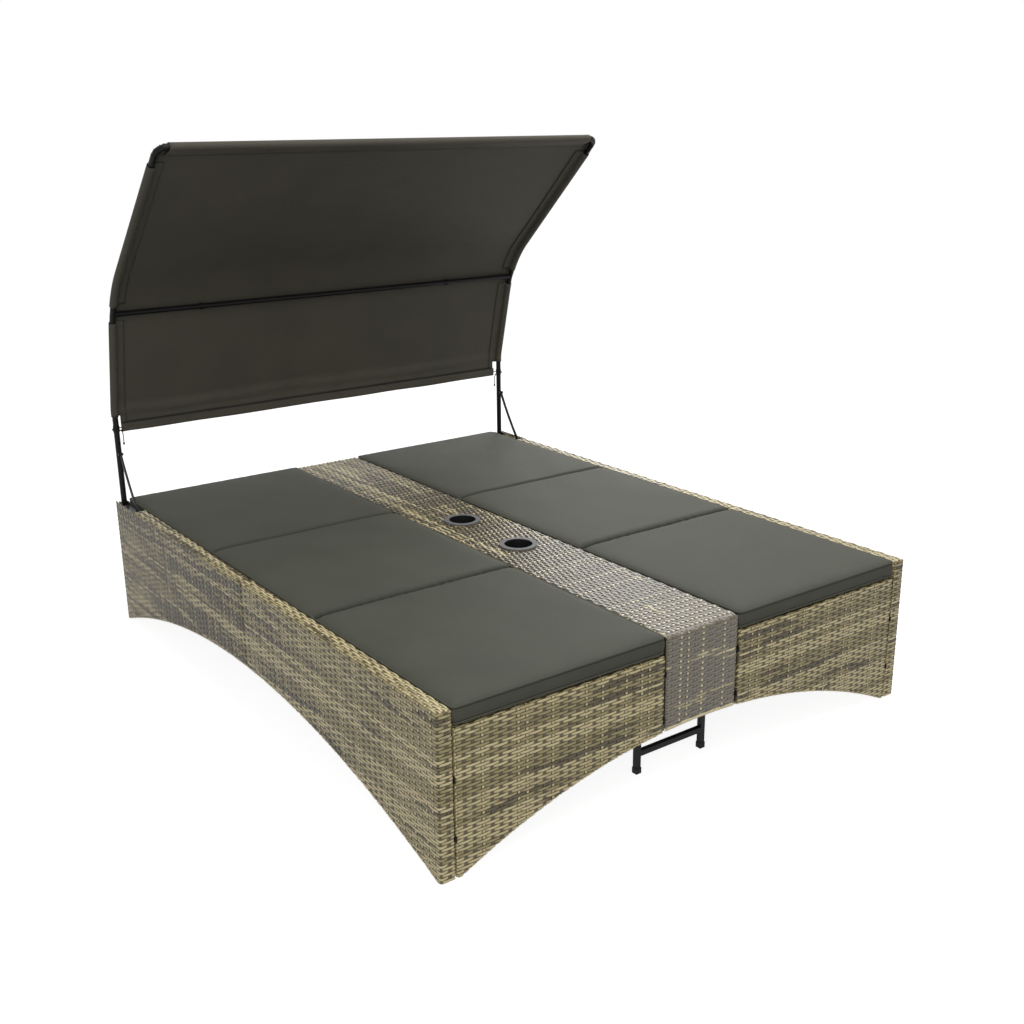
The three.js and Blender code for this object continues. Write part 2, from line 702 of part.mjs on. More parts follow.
// The upright post with the two lugs that hold its stay, drawn from its pivot
function canopyPost() {
  const top = COLLAR_HEIGHT - pivotZ;
  const tube = turned(
    [
      [0, -POST_END_RADIUS],
      [TUBE_RADIUS, -POST_END_RADIUS],
      [TUBE_RADIUS, top - COLLAR_LENGTH],
      [COLLAR_RADIUS, top - COLLAR_LENGTH],
      [COLLAR_RADIUS, top],
      [0, top],
    ],
    ROUND_STEPS * 2,
  );
  const reach = [-COLLAR_RADIUS - OVERRUN, COLLAR_RADIUS + OVERRUN];
  const roundEnd = solid(crossRod(POST_END_RADIUS, reach, 0, 0));
  const above = solid(block(reach, reach, [0, top + OVERRUN]));
  const rounded = solid(tube).intersect(roundEnd.add(above));
  const pivotBore = crossRod(PIVOT_RADIUS + REST_GAP, reach, 0, 0, BORE_STEPS);
  const stayBore = crossRod(STAY_BOLT_RADIUS + REST_GAP, reach, -STAY_SETBACK, stayRise, BORE_STEPS);
  const lugs = [-stayLugOuter, stayLugInner].map((x) => solid(stayLug([x, x + STAY_LUG_WALL])));
  const post = lugs.reduce((a, b) => a.add(b), rounded);
  return geometryOf(post.subtract(solid(pivotBore)).subtract(solid(stayBore)));
}

// A lug on the post's front, beside the stay's eye
function stayLug(span) {
  const arm = block(
    span,
    [-STAY_SETBACK, -TUBE_RADIUS / 2],
    [stayRise - STAY_EYE_RADIUS, stayRise + STAY_EYE_RADIUS],
  );
  return build([arm, crossRod(STAY_EYE_RADIUS, span, -STAY_SETBACK, stayRise)]);
}

// The canopy frame in its side view, from the post's pivot
const hemZ = HEM_HEIGHT - pivotZ;
const leanZ = LEAN_HEIGHT - pivotZ;
const crossbarZ = CROSSBAR_HEIGHT - pivotZ;
const bendZ = ROOF_BEND_HEIGHT - pivotZ;
const topZ = TOP_BAR_HEIGHT - pivotZ;
const bendTangent = ROOF_BEND * Math.tan((rake - lean) / 2);
const intoBend = Math.max(0, bendTangent - (bendZ - crossbarZ) / Math.cos(lean));
const offLean = ROOF_BEND - Math.sqrt(ROOF_BEND ** 2 - intoBend ** 2);
const crossbarY = (leanZ - crossbarZ) * Math.tan(lean) - offLean / Math.cos(lean);
const bendY = (leanZ - bendZ) * Math.tan(lean);
const topY = bendY - (topZ - bendZ) * Math.tan(rake);
const rakeRun = axis(0, -Math.sin(rake), Math.cos(rake));
const bendCorner = axis(0, bendY, bendZ);
const topCorner = axis(0, topY, topZ);
const midBarEnd = postX - STUB_LENGTH - REST_GAP;
const topBarEnd = postX - ELBOW_ARM - REST_GAP;

// A side tube with the welded stub of the crossbar, at x = 0 for its centre line
function sideTube() {
  const tube = bentTube(
    [
      { at: axis(0, 0, COLLAR_HEIGHT + REST_GAP - pivotZ) },
      { at: axis(0, 0, leanZ), bend: LEAN_BEND },
      { at: bendCorner, bend: ROOF_BEND },
      { at: topCorner.clone().addScaledVector(rakeRun, -ELBOW_ARM - REST_GAP) },
    ],
    TUBE_RADIUS,
  );
  const stub = crossRod(CROSSBAR_RADIUS, [-STUB_LENGTH, 0], crossbarY, crossbarZ);
  return build([tube, stub]);
}

function elbow() {
  return bentTube(
    [
      { at: topCorner.clone().addScaledVector(rakeRun, -ELBOW_ARM) },
      { at: topCorner, bend: ELBOW_BEND },
      { at: topCorner.clone().add(axis(-ELBOW_ARM, 0, 0)) },
    ],
    TUBE_RADIUS,
  );
}

// A flat bar from the post to the bracket, hung from its upper eye and drawn straight down
const stayRise = STAY_BOLT_HEIGHT - pivotZ;
const stayRun = STAY_REACH - STAY_SETBACK;
const stayLength = Math.hypot(stayRise, stayRun);
const stayAngle = Math.atan2(stayRun, stayRise);

function stay() {
  const span = [-STAY_WALL / 2, STAY_WALL / 2];
  const strap = new THREE.Shape();
  strap.moveTo(-STAY_HALF_WIDTH, -stayLength);
  strap.quadraticCurveTo(STAY_BOW * 2 - STAY_HALF_WIDTH, -stayLength / 2, -STAY_HALF_WIDTH, 0);
  strap.lineTo(STAY_HALF_WIDTH, 0);
  strap.quadraticCurveTo(STAY_BOW * 2 + STAY_HALF_WIDTH, -stayLength / 2, STAY_HALF_WIDTH, -stayLength);
  const drill = [span[0] - OVERRUN, span[1] + OVERRUN];
  const bore = crossRod(STAY_BOLT_RADIUS + REST_GAP, drill, 0, 0, BORE_STEPS);
  return build(
    [
      sidePlate(strap, span, { curveSegments: BEND_STEPS }),
      crossRod(STAY_EYE_RADIUS, span, 0, 0),
      crossRod(STAY_FOOT_RADIUS, span, 0, -stayLength),
    ],
    [bore],
  );
}

// The bolt through a post's lugs and its stay, with a head at each end
function stayBolt() {
  const headFace = stayLugOuter + REST_GAP;
  const headEnd = headFace + BOLT_HEAD_HEIGHT;
  return build([
    crossRod(STAY_BOLT_RADIUS, [-headEnd, headEnd], -STAY_SETBACK, stayRise),
    crossRod(STAY_HEAD_RADIUS, [-headEnd, -headFace], -STAY_SETBACK, stayRise),
    crossRod(STAY_HEAD_RADIUS, [headFace, headEnd], -STAY_SETBACK, stayRise),
  ]);
}

// Radius of a many-sided bore whose flats stay clear of what it holds
const boreRadius = (radius, sides) => radius / Math.cos(Math.PI / sides);
const sleeveInner = TUBE_RADIUS + REST_GAP;
const sleeveOuter = sleeveInner + CLOTH_WALL;
const sleeveClosing = Math.asin(sleeveInner / sleeveOuter);
const sheetHalf = postX - sleeveOuter * Math.cos(sleeveClosing);

// The cloth cut across the side tubes: a sheet over their outer side with a sleeve round each
function clothSection() {
  const points = [];
  const sweep = (3 * Math.PI) / 2 + sleeveClosing;
  const sleeve = (centre, from) => {
    for (let k = 1; k < SLEEVE_SIDES; k++) {
      const turn = from - (sweep * k) / SLEEVE_SIDES;
      points.push([centre + sleeveOuter * Math.cos(turn), sleeveOuter * Math.sin(turn)]);
    }
  };
  for (let k = 0; k <= CLOTH_CELLS; k++) {
    points.push([THREE.MathUtils.lerp(-postX, postX, k / CLOTH_CELLS), sleeveOuter]);
  }
  sleeve(postX, Math.PI / 2);
  for (let k = 0; k <= CLOTH_CELLS; k++) {
    points.push([THREE.MathUtils.lerp(sheetHalf, -sheetHalf, k / CLOTH_CELLS), sleeveInner]);
  }
  sleeve(-postX, sleeveClosing);
  const section = outlineOf(points);
  const bore = boreRadius(sleeveInner, SLEEVE_SIDES);
  for (const x of [-postX, postX]) section.holes.push(ring(x, bore, SLEEVE_SIDES));
  return section;
}

// A closed many-sided ring about a place on the first axis of an outline
function ring(centre, radius, sides) {
  const points = [];
  for (let k = 0; k < sides; k++) {
    const turn = (2 * Math.PI * k) / sides;
    points.push(new THREE.Vector2(centre + radius * Math.cos(turn), radius * Math.sin(turn)));
  }
  return new THREE.Path(points);
}

const roofOut = axis(0, Math.cos(rake), Math.sin(rake));

// Lets the roof sag between its tubes, its bend and its front bar, and the back billow out
function sag(geometry) {
  const place = geometry.attributes.position;
  const roofLength = topCorner.distanceTo(bendCorner);
  for (let i = 0; i < place.count; i++) {
    const point = axis(0, 0, 0).fromBufferAttribute(place, i);
    const across = Math.max(0, 1 - (point.x / sheetHalf) ** 2);
    const alongRoof = THREE.MathUtils.clamp(point.clone().sub(bendCorner).dot(rakeRun) / roofLength, 0, 1);
    const upBack = THREE.MathUtils.clamp((point.z - hemZ) / (crossbarZ - hemZ), 0, 1);
    point.addScaledVector(roofOut, -ROOF_SAG * across * Math.sin(Math.PI * alongRoof) ** 2);
    point.y += BACK_SAG * across * Math.sin(Math.PI * upBack);
    place.setXYZ(i, point.x, point.y, point.z);
  }
  return geometry;
}

// Plain corners that divide a straight run, so that the cloth can sag there
function divided(from, to, parts) {
  const corners = [];
  for (let k = 1; k < parts; k++) corners.push({ at: from.clone().lerp(to, k / parts) });
  return corners;
}

function canopyFabric() {
  const hem = axis(0, 0, hemZ);
  const leanCorner = axis(0, 0, leanZ);
  const leanRun = bendCorner.clone().sub(leanCorner).normalize();
  const backTop = bendCorner.clone().addScaledVector(leanRun, -bendTangent);
  const roofStart = bendCorner.clone().addScaledVector(rakeRun, bendTangent);
  const corners = [
    { at: hem },
    { at: leanCorner, bend: LEAN_BEND },
    ...divided(leanCorner, backTop, CLOTH_RUNS),
    { at: bendCorner, bend: ROOF_BEND },
    ...divided(roofStart, topCorner, CLOTH_RUNS),
    { at: topCorner },
  ];
  const line = new BentLine(corners, axis(1, 0, 0));
  const sheet = new THREE.ExtrudeGeometry(clothSection(), { steps: line.steps, extrudePath: line });
  const hemEnd = postX - HEM_INSET;
  const hemRoll = block(
    [-hemEnd, hemEnd],
    [sleeveInner - HEM_SWELL, sleeveOuter + HEM_SWELL],
    [hemZ, hemZ + HEM_DEPTH],
  );
  const barSection = new THREE.Shape(ring(0, sleeveOuter, ROUND_STEPS * 2).getPoints());
  barSection.holes.push(ring(0, boreRadius(sleeveInner, ROUND_STEPS * 2), ROUND_STEPS * 2));
  const barHalf = postX - CLOTH_CORNER;
  const barSleeve = sidePlate(barSection, [-barHalf, barHalf]).translate(0, topY, topZ);
  const cuts = [];
  for (const hand of [-1, 1]) {
    const outside = postX + sleeveOuter + OVERRUN;
    const cornerSpan = handed(hand, barHalf, outside);
    const corner = block(cornerSpan, [-ELBOW_ARM, ELBOW_ARM], [-CLOTH_CUTBACK, ELBOW_ARM]);
    cuts.push(corner.rotateX(rake).translate(0, topY, topZ));
    const hemSpan = handed(hand, hemEnd, outside);
    const stubSpan = handed(hand, postX - 2 * sleeveOuter, postX);
    cuts.push(block(hemSpan, [-outside, outside], [hemZ - OVERRUN, SLEEVE_HEIGHT - pivotZ]));
    cuts.push(crossRod(CROSSBAR_RADIUS + RUNNING_GAP, stubSpan, crossbarY, crossbarZ));
  }
  return build([sag(sheet), hemRoll, barSleeve], cuts);
}

// A cord from the hem's end round the post's collar, hanging down: from the post's line, and up from the hem
const TIE_ROUTE = [
  [-21.5, 11, 14],
  [-15, 12.5, 13.8],
  [-8, 13, 13.6],
  [0, 13, 13.4],
  [7, 11.2, 13.1],
  [11.4, 6.8, 12.8],
  [13.1, 0, 12.5],
  [11.4, -6.8, 12.2],
  [7, -11.2, 11.9],
  [0, -13.2, 11.5],
  [-7, -12, 10.8],
  [-13, -8.5, 9.2],
  [-17, -5, 5.8],
  [-19.2, -2.6, 0.6],
  [-20.2, -1.2, -6],
  [-20.8, -0.4, -14],
  [-21, 0, -23],
  [-20.9, 0.2, -32],
  [-20.5, 0, -41],
  [-20.2, -0.3, -50],
];

function canopyTie() {
  const route = new THREE.CatmullRomCurve3(TIE_ROUTE.map(([x, y, z]) => axis(x, y, hemZ + z)));
  const section = new THREE.Shape().absarc(0, 0, TIE_RADIUS, 0, 2 * Math.PI);
  const settings = { steps: TIE_STEPS, extrudePath: route, curveSegments: TIE_SIDES };
  return new THREE.ExtrudeGeometry(section, settings);
}

// What each side of the base carries, built on the right
function baseSide(side) {
  const foot = piece(`side_panel_${side}_foot`, sidePanel(), wovenResin());
  const head = piece(`side_panel_${side}_head`, recessedSidePanel(), wovenResin());
  foot.position.x = postX;
  head.position.x = postX;
  head.rotation.z = Math.PI;
  const splice = piece(`side_splice_${side}`, sideSplice(), blackSteel());
  splice.position.x = sideInner - REST_GAP;
  const footPanel = piece(`foot_panel_${side}`, endPanel(), wovenResin());
  const headPanel = piece(`head_panel_${side}`, endPanel(), wovenResin());
  footPanel.position.y = -halfLength;
  headPanel.position.y = endInner;
  const outerHooks = piece(`seam_hooks_${side}_outer`, seamHooks(OUTER_HOOK_DROPS), blackPlastic());
  const innerHooks = piece(`seam_hooks_${side}_inner`, seamHooks(INNER_HOOK_DROPS), blackPlastic());
  outerHooks.position.set(sideInner, -halfLength, 0);
  innerHooks.position.set(halfConsole + PANEL_SEAM, -halfLength, 0);
  const bracket = piece(`post_bracket_${side}`, postBracket(), brightSteel());
  const bolt = piece(`pivot_bolt_${side}`, pivotBolt(), blackSteel());
  bracket.position.set(postX, pivotY, pivotZ);
  bolt.position.set(postX, pivotY, pivotZ);
  return gathered(foot, head, splice, footPanel, headPanel, outerHooks, innerHooks, bracket, bolt);
}

// One lounger: the fixed frame, the backrest on its hinge and the prop on the backrest
function lounger(side) {
  const prop = gathered(piece(`backrest_prop_${side}`, backrestProp(), blackSteel()));
  prop.position.set(0, propPivotY, propPivotZ);
  prop.rotation.x = -propDrop;
  const backrest = gathered(
    piece(`backrest_deck_${side}`, backrestDeck(), wovenResin()),
    piece(`cushion_back_${side}`, backCushion(), seatCloth()),
    prop,
  );
  backrest.position.set(0, hingeY, hingeZ);
  const frame = gathered(
    piece(`seat_deck_${side}`, seatDeck(), wovenResin()),
    piece(`hinge_rod_${side}`, hingeRod(), brightSteel()),
    piece(`prop_rack_${side}`, propRack(), blackSteel()),
    piece(`cushion_seat_${side}`, seatCushion(), seatCloth()),
    piece(`cushion_crease_${side}`, cushionCrease(), seatCloth()),
    backrest,
  );
  frame.position.x = loungerX;
  prop.name = `prop_${side}`;
  backrest.name = `backrest_${side}`;
  return frame;
}

// What each side of the canopy carries, built on the right from the post's pivot
function canopySide(side) {
  const post = piece(`canopy_post_${side}`, canopyPost(), blackSteel());
  const tube = piece(`canopy_side_tube_${side}`, sideTube(), blackSteel());
  const corner = piece(`canopy_elbow_${side}`, elbow(), blackSteel());
  const bolt = piece(`stay_bolt_${side}`, stayBolt(), blackSteel());
  const tie = piece(`canopy_tie_${side}`, canopyTie(), cord());
  const strap = gathered(piece(`canopy_stay_${side}`, stay(), blackSteel()));
  strap.position.set(0, -STAY_SETBACK, stayRise);
  strap.rotation.x = -stayAngle;
  strap.name = `stay_${side}`;
  const items = gathered(post, tube, corner, bolt, tie, strap);
  items.position.x = postX;
  return items;
}

function consoleAndLegs() {
  const foot = piece("console_foot", consoleHalf(-CUP_FOOT_PLACE), consoleResin());
  const head = piece("console_head", consoleHalf(-CUP_HEAD_PLACE), consoleResin());
  head.rotation.z = Math.PI;
  const footCup = piece("cup_holder_foot", cupHolder(), greyPlastic());
  const headCup = piece("cup_holder_head", cupHolder(), greyPlastic());
  footCup.position.set(0, -CUP_FOOT_PLACE, BASE_HEIGHT + REST_GAP);
  headCup.position.set(0, CUP_HEAD_PLACE, BASE_HEIGHT + REST_GAP);
  const items = gathered(foot, head, footCup, headCup);
  for (const [end, way] of [["foot", -1], ["head", 1]]) {
    const frame = piece(`leg_frame_${end}`, legFrame(), blackSteel());
    frame.position.y = way * (halfLength - LEG_SETBACK);
    items.add(frame);
    for (const [side, hand] of SIDES) {
      const cap = piece(`leg_cap_${end}_${side}`, legCap(), blackPlastic());
      cap.position.set(hand * legX, frame.position.y, 0);
      items.add(cap);
    }
  }
  return items;
}

function canopy() {
  const topBar = crossRod(TUBE_RADIUS, [-topBarEnd, topBarEnd], topY, topZ);
  const midBar = crossRod(CROSSBAR_RADIUS, [-midBarEnd, midBarEnd], crossbarY, crossbarZ);
  const items = gathered(
    piece("canopy_fabric", canopyFabric(), canopyCloth()),
    piece("canopy_top_bar", topBar, blackSteel()),
    piece("canopy_mid_bar", midBar, brightSteel()),
  );
  items.position.set(0, pivotY, pivotZ);
  items.name = "canopy";
  return items;
}

const daybed = gathered(consoleAndLegs());
const shade = canopy();
for (const [side, hand] of SIDES) {
  const base = gathered(baseSide(side), lounger(side));
  base.scale.x = hand;
  daybed.add(base);
  const frame = gathered(canopySide(side));
  frame.scale.x = hand;
  shade.add(frame);
}
daybed.add(shade);

export default daybed;
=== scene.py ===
"""The looks of an outdoor daybed for two: woven panels, piped cushions and a canopy that folds back."""
import math

import bmesh
import bpy
import numpy as np
from bpy.props import FloatProperty, FloatVectorProperty, PointerProperty
from mathutils import Matrix, Vector


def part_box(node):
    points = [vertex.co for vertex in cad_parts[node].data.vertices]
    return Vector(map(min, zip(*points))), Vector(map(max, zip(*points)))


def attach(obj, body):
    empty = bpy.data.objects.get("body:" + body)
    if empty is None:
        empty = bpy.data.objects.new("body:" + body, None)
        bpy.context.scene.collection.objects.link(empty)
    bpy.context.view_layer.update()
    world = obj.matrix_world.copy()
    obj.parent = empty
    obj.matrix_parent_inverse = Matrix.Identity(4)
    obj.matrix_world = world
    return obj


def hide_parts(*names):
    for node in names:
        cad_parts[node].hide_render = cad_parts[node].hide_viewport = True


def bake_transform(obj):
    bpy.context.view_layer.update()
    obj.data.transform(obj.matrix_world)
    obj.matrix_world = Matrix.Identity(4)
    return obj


bl_info = {
    "name": "Outdoor daybed",
    "version": (1, 0, 0),
    "blender": (4, 5, 0),
    "location": "3D Viewport > Sidebar > Daybed",
    "description": "Dresses the packed frame of an outdoor daybed with weave, cushions and canopy cloth",
    "category": "Object",
}

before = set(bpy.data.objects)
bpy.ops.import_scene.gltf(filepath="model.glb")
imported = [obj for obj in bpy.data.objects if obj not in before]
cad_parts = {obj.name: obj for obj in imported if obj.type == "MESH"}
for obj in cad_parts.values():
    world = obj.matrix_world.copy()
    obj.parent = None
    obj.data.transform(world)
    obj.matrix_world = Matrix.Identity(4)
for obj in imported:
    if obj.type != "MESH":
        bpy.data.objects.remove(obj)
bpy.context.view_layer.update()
SIDES = {"left": -1, "right": 1}
ENDS = {"foot": -1, "head": 1}
WELD = 1e-5  # corners this close are one corner

# Sizes that the panels share, in metres
SIDE_ARCH = (0.985, 0.176)  # half span and rise
END_ARCH = (0.7505, 0.172)
STRAND_SHARES = (0, 0.2, 0.5, 0.8)  # grid lines across a strand
STAKE_SHARES = (0, 0.13, 0.2, 0.5, 0.8, 0.87)  # grid lines from one stake to the next
STAKE_HALF = 0.13  # half a stake's width as a share of their distance
STRAND_SWING, STRAND_LIFT, STRAND_LOWEST = 1.6, 0.35, -0.9  # over and under, as shares of the crest
STRAND_UNEVEN = 0.3  # how much the strands differ in height
STAKE_HEIGHT, STAKE_HIDDEN = 0.2, -2
GRID_SLACK = 1e-4  # rounding error of a place on the grid, as a share of a strand
HASH_FACTORS = (12.9898, 78.233)
HASH_STRETCH = 43758.5453
RIPPLE_WAVES = 7
WRAP_RADIUS = 0.006
SEAM_RADIUS = 0.002
RECESS_START = 0.830  # from the middle to the recess for the canopy's bracket
RECESS_FLOOR = 0.4056
STEP_RUN = 0.0015  # length of the steep step into the recess
LIP_RADIUS = 0.0004
EDGE_RIM = 0.004  # thin strand along the arches of the outer panels
CONSOLE_RADIUS = 0.010
CONSOLE_WALL = 0.020
CUP_HOLE = 0.050
CUP_RIM_REACH = 1.3  # edges this many hole radiuses from its middle may belong to the hole's rim
SIDE_TONES = {"foot": 0.0, "head": 0.5}  # how much darker than the weave's own streaks
END_TONE = -0.1
CONSOLE_FRONT_ROW = 200  # number of the front's first row, so that it has streaks of its own
CONSOLE_FRONT_TONE = 1.3
CONSOLE_FADE = (0.2, 0.5)  # from the middle, where the console's tone changes
CONSOLE_TONES = {"foot": (1.0, 1.6), "head": (0.9, 0.6)}  # before and after that change
CONSOLE_GLOSS = {"foot": 0.8, "head": 0.3}

BRACKET_DROP = 0.0012  # from the pivot bolt's underside to the top of the bracket's plate
WELL_RADIUS = 0.0434  # edge of a cup holder's black well
WELL_DROP = 0.0012  # from the rim's top to the well
WELL_BLUR = 0.0003  # half the width of the change from the rim's grey to the well's black

# Heads of the connectors at the foot end: place across and heights, and their size
HOOK_PLACES = ((0.7645, (0.102, 0.252)), (0.129, (0.199, 0.328)))
HOOK_SIZE = (0.0055, 0.0056, 0.015)
HOOK_ROUNDING = 0.0012
FOOT_Y = -1.0  # face of the foot end

# Collars on the crossbar
COLLAR_WALL = 0.002
COLLAR_LENGTH = 0.012

# The canopy's side view, in metres and radians
POST_X = 0.787
POST_Y = 0.978
HEM_Z = 0.666
LEAN_Z = 0.747
CROSSBAR_Z = 1.072
BEND_Z = 1.127
TOP_Z = 1.590
LEAN = math.radians(14)
RAKE = math.radians(47.5)
LEAN_BEND = 0.060
ROOF_BEND = 0.400
LEAN_CORNER = Vector((POST_Y, LEAN_Z))
ROOF_CORNER = LEAN_CORNER + (BEND_Z - LEAN_Z) * Vector((-math.tan(LEAN), 1))
TOP_CORNER = ROOF_CORNER + (TOP_Z - BEND_Z) * Vector((-math.tan(RAKE), 1))
ELBOW_BEND = 0.034
SLEEVE_RADIUS = 0.0110
SLEEVE_START_Z = 0.722
SLEEVE_CUTBACK = 0.074
SLEEVE_FLAP = 0.030
STUB_OPENING = 0.030  # from the crossbar to each end of the sleeve's opening
CLOTH_CORNER_X = POST_X - ELBOW_BEND
HEM_END_X = 0.765
HEM_DEPTH = 0.030
HEM_CREASE = 0.072  # above the hem
CLOTH_THICKNESS = 0.0011
HEM_EDGE = 0.004  # from the hem's lower edge to the first straight row
HEM_ROLL = 0.003  # radius of the hem's turned edge
HEM_LAYER = 0.006  # from the cloth to the turned layer's other side
BAR_WRAP = math.radians(200)  # how far the cloth goes round the top bar
BAR_FLAP = 0.045  # from the bar to the seam of its sleeve
FLAP_LAYER = 0.002  # how far the bar's sewn flap lies inside the sleeve's radius
SIDE_FLAP_LAYER = 0.0022
FLAP_START = 0.004  # from the sleeve to the side flap's first column
BEND_CELL = 0.006
CLOTH_CELLS = (0.009, 0.012, 0.006, 0.012, 0.005)  # of the cloth's five stretches, from the hem up
STITCH_REACH = 0.003
BAR_STITCH_REACH = 0.008
ROOF_RIPPLE = (0.35, 0.0022)  # wavelength and height
BACK_RIPPLE = (0.30, 0.002)
CREASE_RIPPLE = (0.5, 0.010)
CREASE = (0.007, 0.010)  # depth and reach of the crease above the hem
GATHERS = (0.07, 0.0016)  # of the cloth at the hem's stitches
HEM_RIPPLE = (0.30, 0.0025)
HEM_REACH = 0.03
LINE_STEP = 0.004  # to both sides of a place whose direction is measured

# The tie's route, from the post's line, the head end's post line and the hem, in metres
TIE_ROUTE = (
    (-0.0215, 0.0110, 0.0140),
    (-0.0150, 0.0125, 0.0138),
    (-0.0080, 0.0130, 0.0136),
    (0.0000, 0.0130, 0.0134),
    (0.0070, 0.0112, 0.0131),
    (0.0114, 0.0068, 0.0128),
    (0.0131, 0.0000, 0.0125),
    (0.0114, -0.0068, 0.0122),
    (0.0070, -0.0112, 0.0119),
    (0.0000, -0.0132, 0.0115),
    (-0.0070, -0.0120, 0.0108),
    (-0.0130, -0.0085, 0.0092),
    (-0.0170, -0.0050, 0.0058),
    (-0.0192, -0.0026, 0.0006),
    (-0.0202, -0.0012, -0.0060),
    (-0.0208, -0.0004, -0.0140),
    (-0.0210, 0.0000, -0.0230),
    (-0.0209, 0.0002, -0.0320),
    (-0.0207, 0.0001, -0.0340),
    (-0.0206, 0.0000, -0.0375),
    (-0.0205, 0.0000, -0.0410),
    (-0.0205, 0.0000, -0.0430),
)
TIE_DIAMETER = 0.003
TIE_KNOTS = {11: 1.7, 12: 1.7, 18: 1.2, 19: 2.1, 20: 2.1, 21: 0.8}  # thicker points of the route


# Properties

def length_property(name, description, default):
    return FloatProperty(
        name=name, description=description, default=default, min=0, unit="LENGTH", precision=5
    )


def colour_property(name, description, default):
    return FloatVectorProperty(
        name=name, description=description, default=default, min=0, max=1, subtype="COLOR"
    )


def power_property(name, lamp, default):
    return FloatProperty(
        name=name, description=f"Power of the {lamp}", default=default, min=0, unit="POWER"
    )


class DaybedWeave(bpy.types.PropertyGroup):
    strand: length_property("Strand", "Height of one row of the weave", 0.00825)
    stake: length_property("Stake", "Distance between the upright stakes", 0.0256)
    crest: length_property("Crest", "How far a strand stands out over a stake", 0.0015)
    rim: length_property("Rim", "Width of the strand that is wrapped along an arch", 0.009)
    light: colour_property("Light strand", "Beige of the light strands", (0.74, 0.63, 0.36))
    olive: colour_property("Olive strand", "Khaki of the middle strands", (0.41, 0.345, 0.175))
    dark: colour_property("Dark strand", "Grey-brown of the dark strands", (0.16, 0.132, 0.078))


class DaybedCushion(bpy.types.PropertyGroup):
    piping: length_property("Piping", "Radius of the piping along the edges", 0.003)
    cell: length_property("Cell", "Size of one cell of the cushion's mesh", 0.0085)
    colour: colour_property("Cover", "Grey-green of the cushion covers", (0.086, 0.088, 0.068))


class DaybedCanopy(bpy.types.PropertyGroup):
    roof_sag: length_property("Roof sag", "How far the roof cloth hangs below its tubes", 0.014)
    back_sag: length_property("Back sag", "How far the back cloth billows out", 0.005)
    colour: colour_property("Cloth", "Dark olive of the canopy cloth", (0.088, 0.082, 0.062))


class DaybedStage(bpy.types.PropertyGroup):
    world: FloatProperty(name="World", description="Strength of the even light", default=0.26, min=0)
    key: power_property("Key", "lamp overhead", 108)
    fill: power_property("Fill", "lamp at the near corner", 54)
    side: power_property("Side", "high lamp on the right", 36)
    rim: power_property("Rim", "low lamp behind", 38)


# Materials

SHOWN_RAYS = ("Camera", "Glossy", "Transmission")


def maths(operation, swapped=False):
    """A method of Value that adds one maths node."""

    def method(self, *others):
        terms = [self, *others]
        if swapped:
            terms.reverse()
        return self.finish.node("ShaderNodeMath", {"operation": operation}, dict(enumerate(terms)))

    return method


class Value:
    """A socket of a material that sums are written with."""

    __add__ = __radd__ = maths("ADD")
    __sub__ = maths("SUBTRACT")
    __rsub__ = maths("SUBTRACT", swapped=True)
    __mul__ = __rmul__ = maths("MULTIPLY")
    __pow__ = maths("POWER")
    __lt__ = maths("LESS_THAN")
    __gt__ = maths("GREATER_THAN")
    floor = maths("FLOOR")
    absolute = maths("ABSOLUTE")
    sine = maths("SINE")
    root = maths("SQRT")
    fraction = maths("FRACT")
    maximum = maths("MAXIMUM")

    def __init__(self, finish, socket):
        self.finish = finish
        self.socket = socket

    def ramp(self, low, high):
        """0 at low, eased to 1 at high."""
        inputs = {"Value": self, "From Min": low, "From Max": high}
        return self.finish.node("ShaderNodeMapRange", {"interpolation_type": "SMOOTHSTEP"}, inputs)


class Finish:
    """A material or a world under construction, with one method that adds any node."""

    def __init__(self, made):
        self.made = made
        made.use_nodes = True
        self.tree = made.node_tree
        self.tree.nodes.clear()

    def node(self, kind, settings=None, inputs=None, output=0):
        made = self.tree.nodes.new(kind)
        for key, setting in (settings or {}).items():
            setattr(made, key, setting)
        for key, value in (inputs or {}).items():
            if isinstance(value, Value):
                self.tree.links.new(value.socket, made.inputs[key])
            else:
                made.inputs[key].default_value = value
        return None if output is None else Value(self, made.outputs[output])

    def attribute(self, name, output="Vector"):
        return self.node("ShaderNodeAttribute", {"attribute_name": name}, output=output)

    def place(self):
        return self.node("ShaderNodeTexCoord", output="Object")

    def parts(self, vector):
        return [self.node("ShaderNodeSeparateXYZ", None, {0: vector}, output=k) for k in range(3)]

    def vector(self, x, y, z):
        return self.node("ShaderNodeCombineXYZ", None, {0: x, 1: y, 2: z})

    def noise(self, vector, scale, detail=2.0):
        return self.node("ShaderNodeTexNoise", None, {"Vector": vector, "Scale": scale, "Detail": detail})

    def chance(self, number):
        """A fixed random number for each whole number."""
        return self.node("ShaderNodeTexWhiteNoise", {"noise_dimensions": "1D"}, {"W": number})

    def mix(self, share, a, b):
        inputs = {0: share, 6: colour(a), 7: colour(b)}
        return self.node("ShaderNodeMix", {"data_type": "RGBA"}, inputs, output=2)

    def bump(self, height, distance, strength):
        inputs = {"Height": height, "Distance": distance, "Strength": strength}
        return self.node("ShaderNodeBump", None, inputs)

    def surface(self, **inputs):
        named = {key.replace("_", " "): value for key, value in inputs.items()}
        return self.finished(self.node("ShaderNodeBsdfPrincipled", None, named))

    def finished(self, shader, kind="ShaderNodeOutputMaterial"):
        self.node(kind, None, {"Surface": shader}, output=None)
        return self.made

    def shown_rays(self):
        """1 for the camera's rays and for those that mirrors and glass send on, 0 for the light's own."""
        rays = [self.node("ShaderNodeLightPath", output=f"Is {kind} Ray") for kind in SHOWN_RAYS]
        return rays[0].maximum(rays[1]).maximum(rays[2])


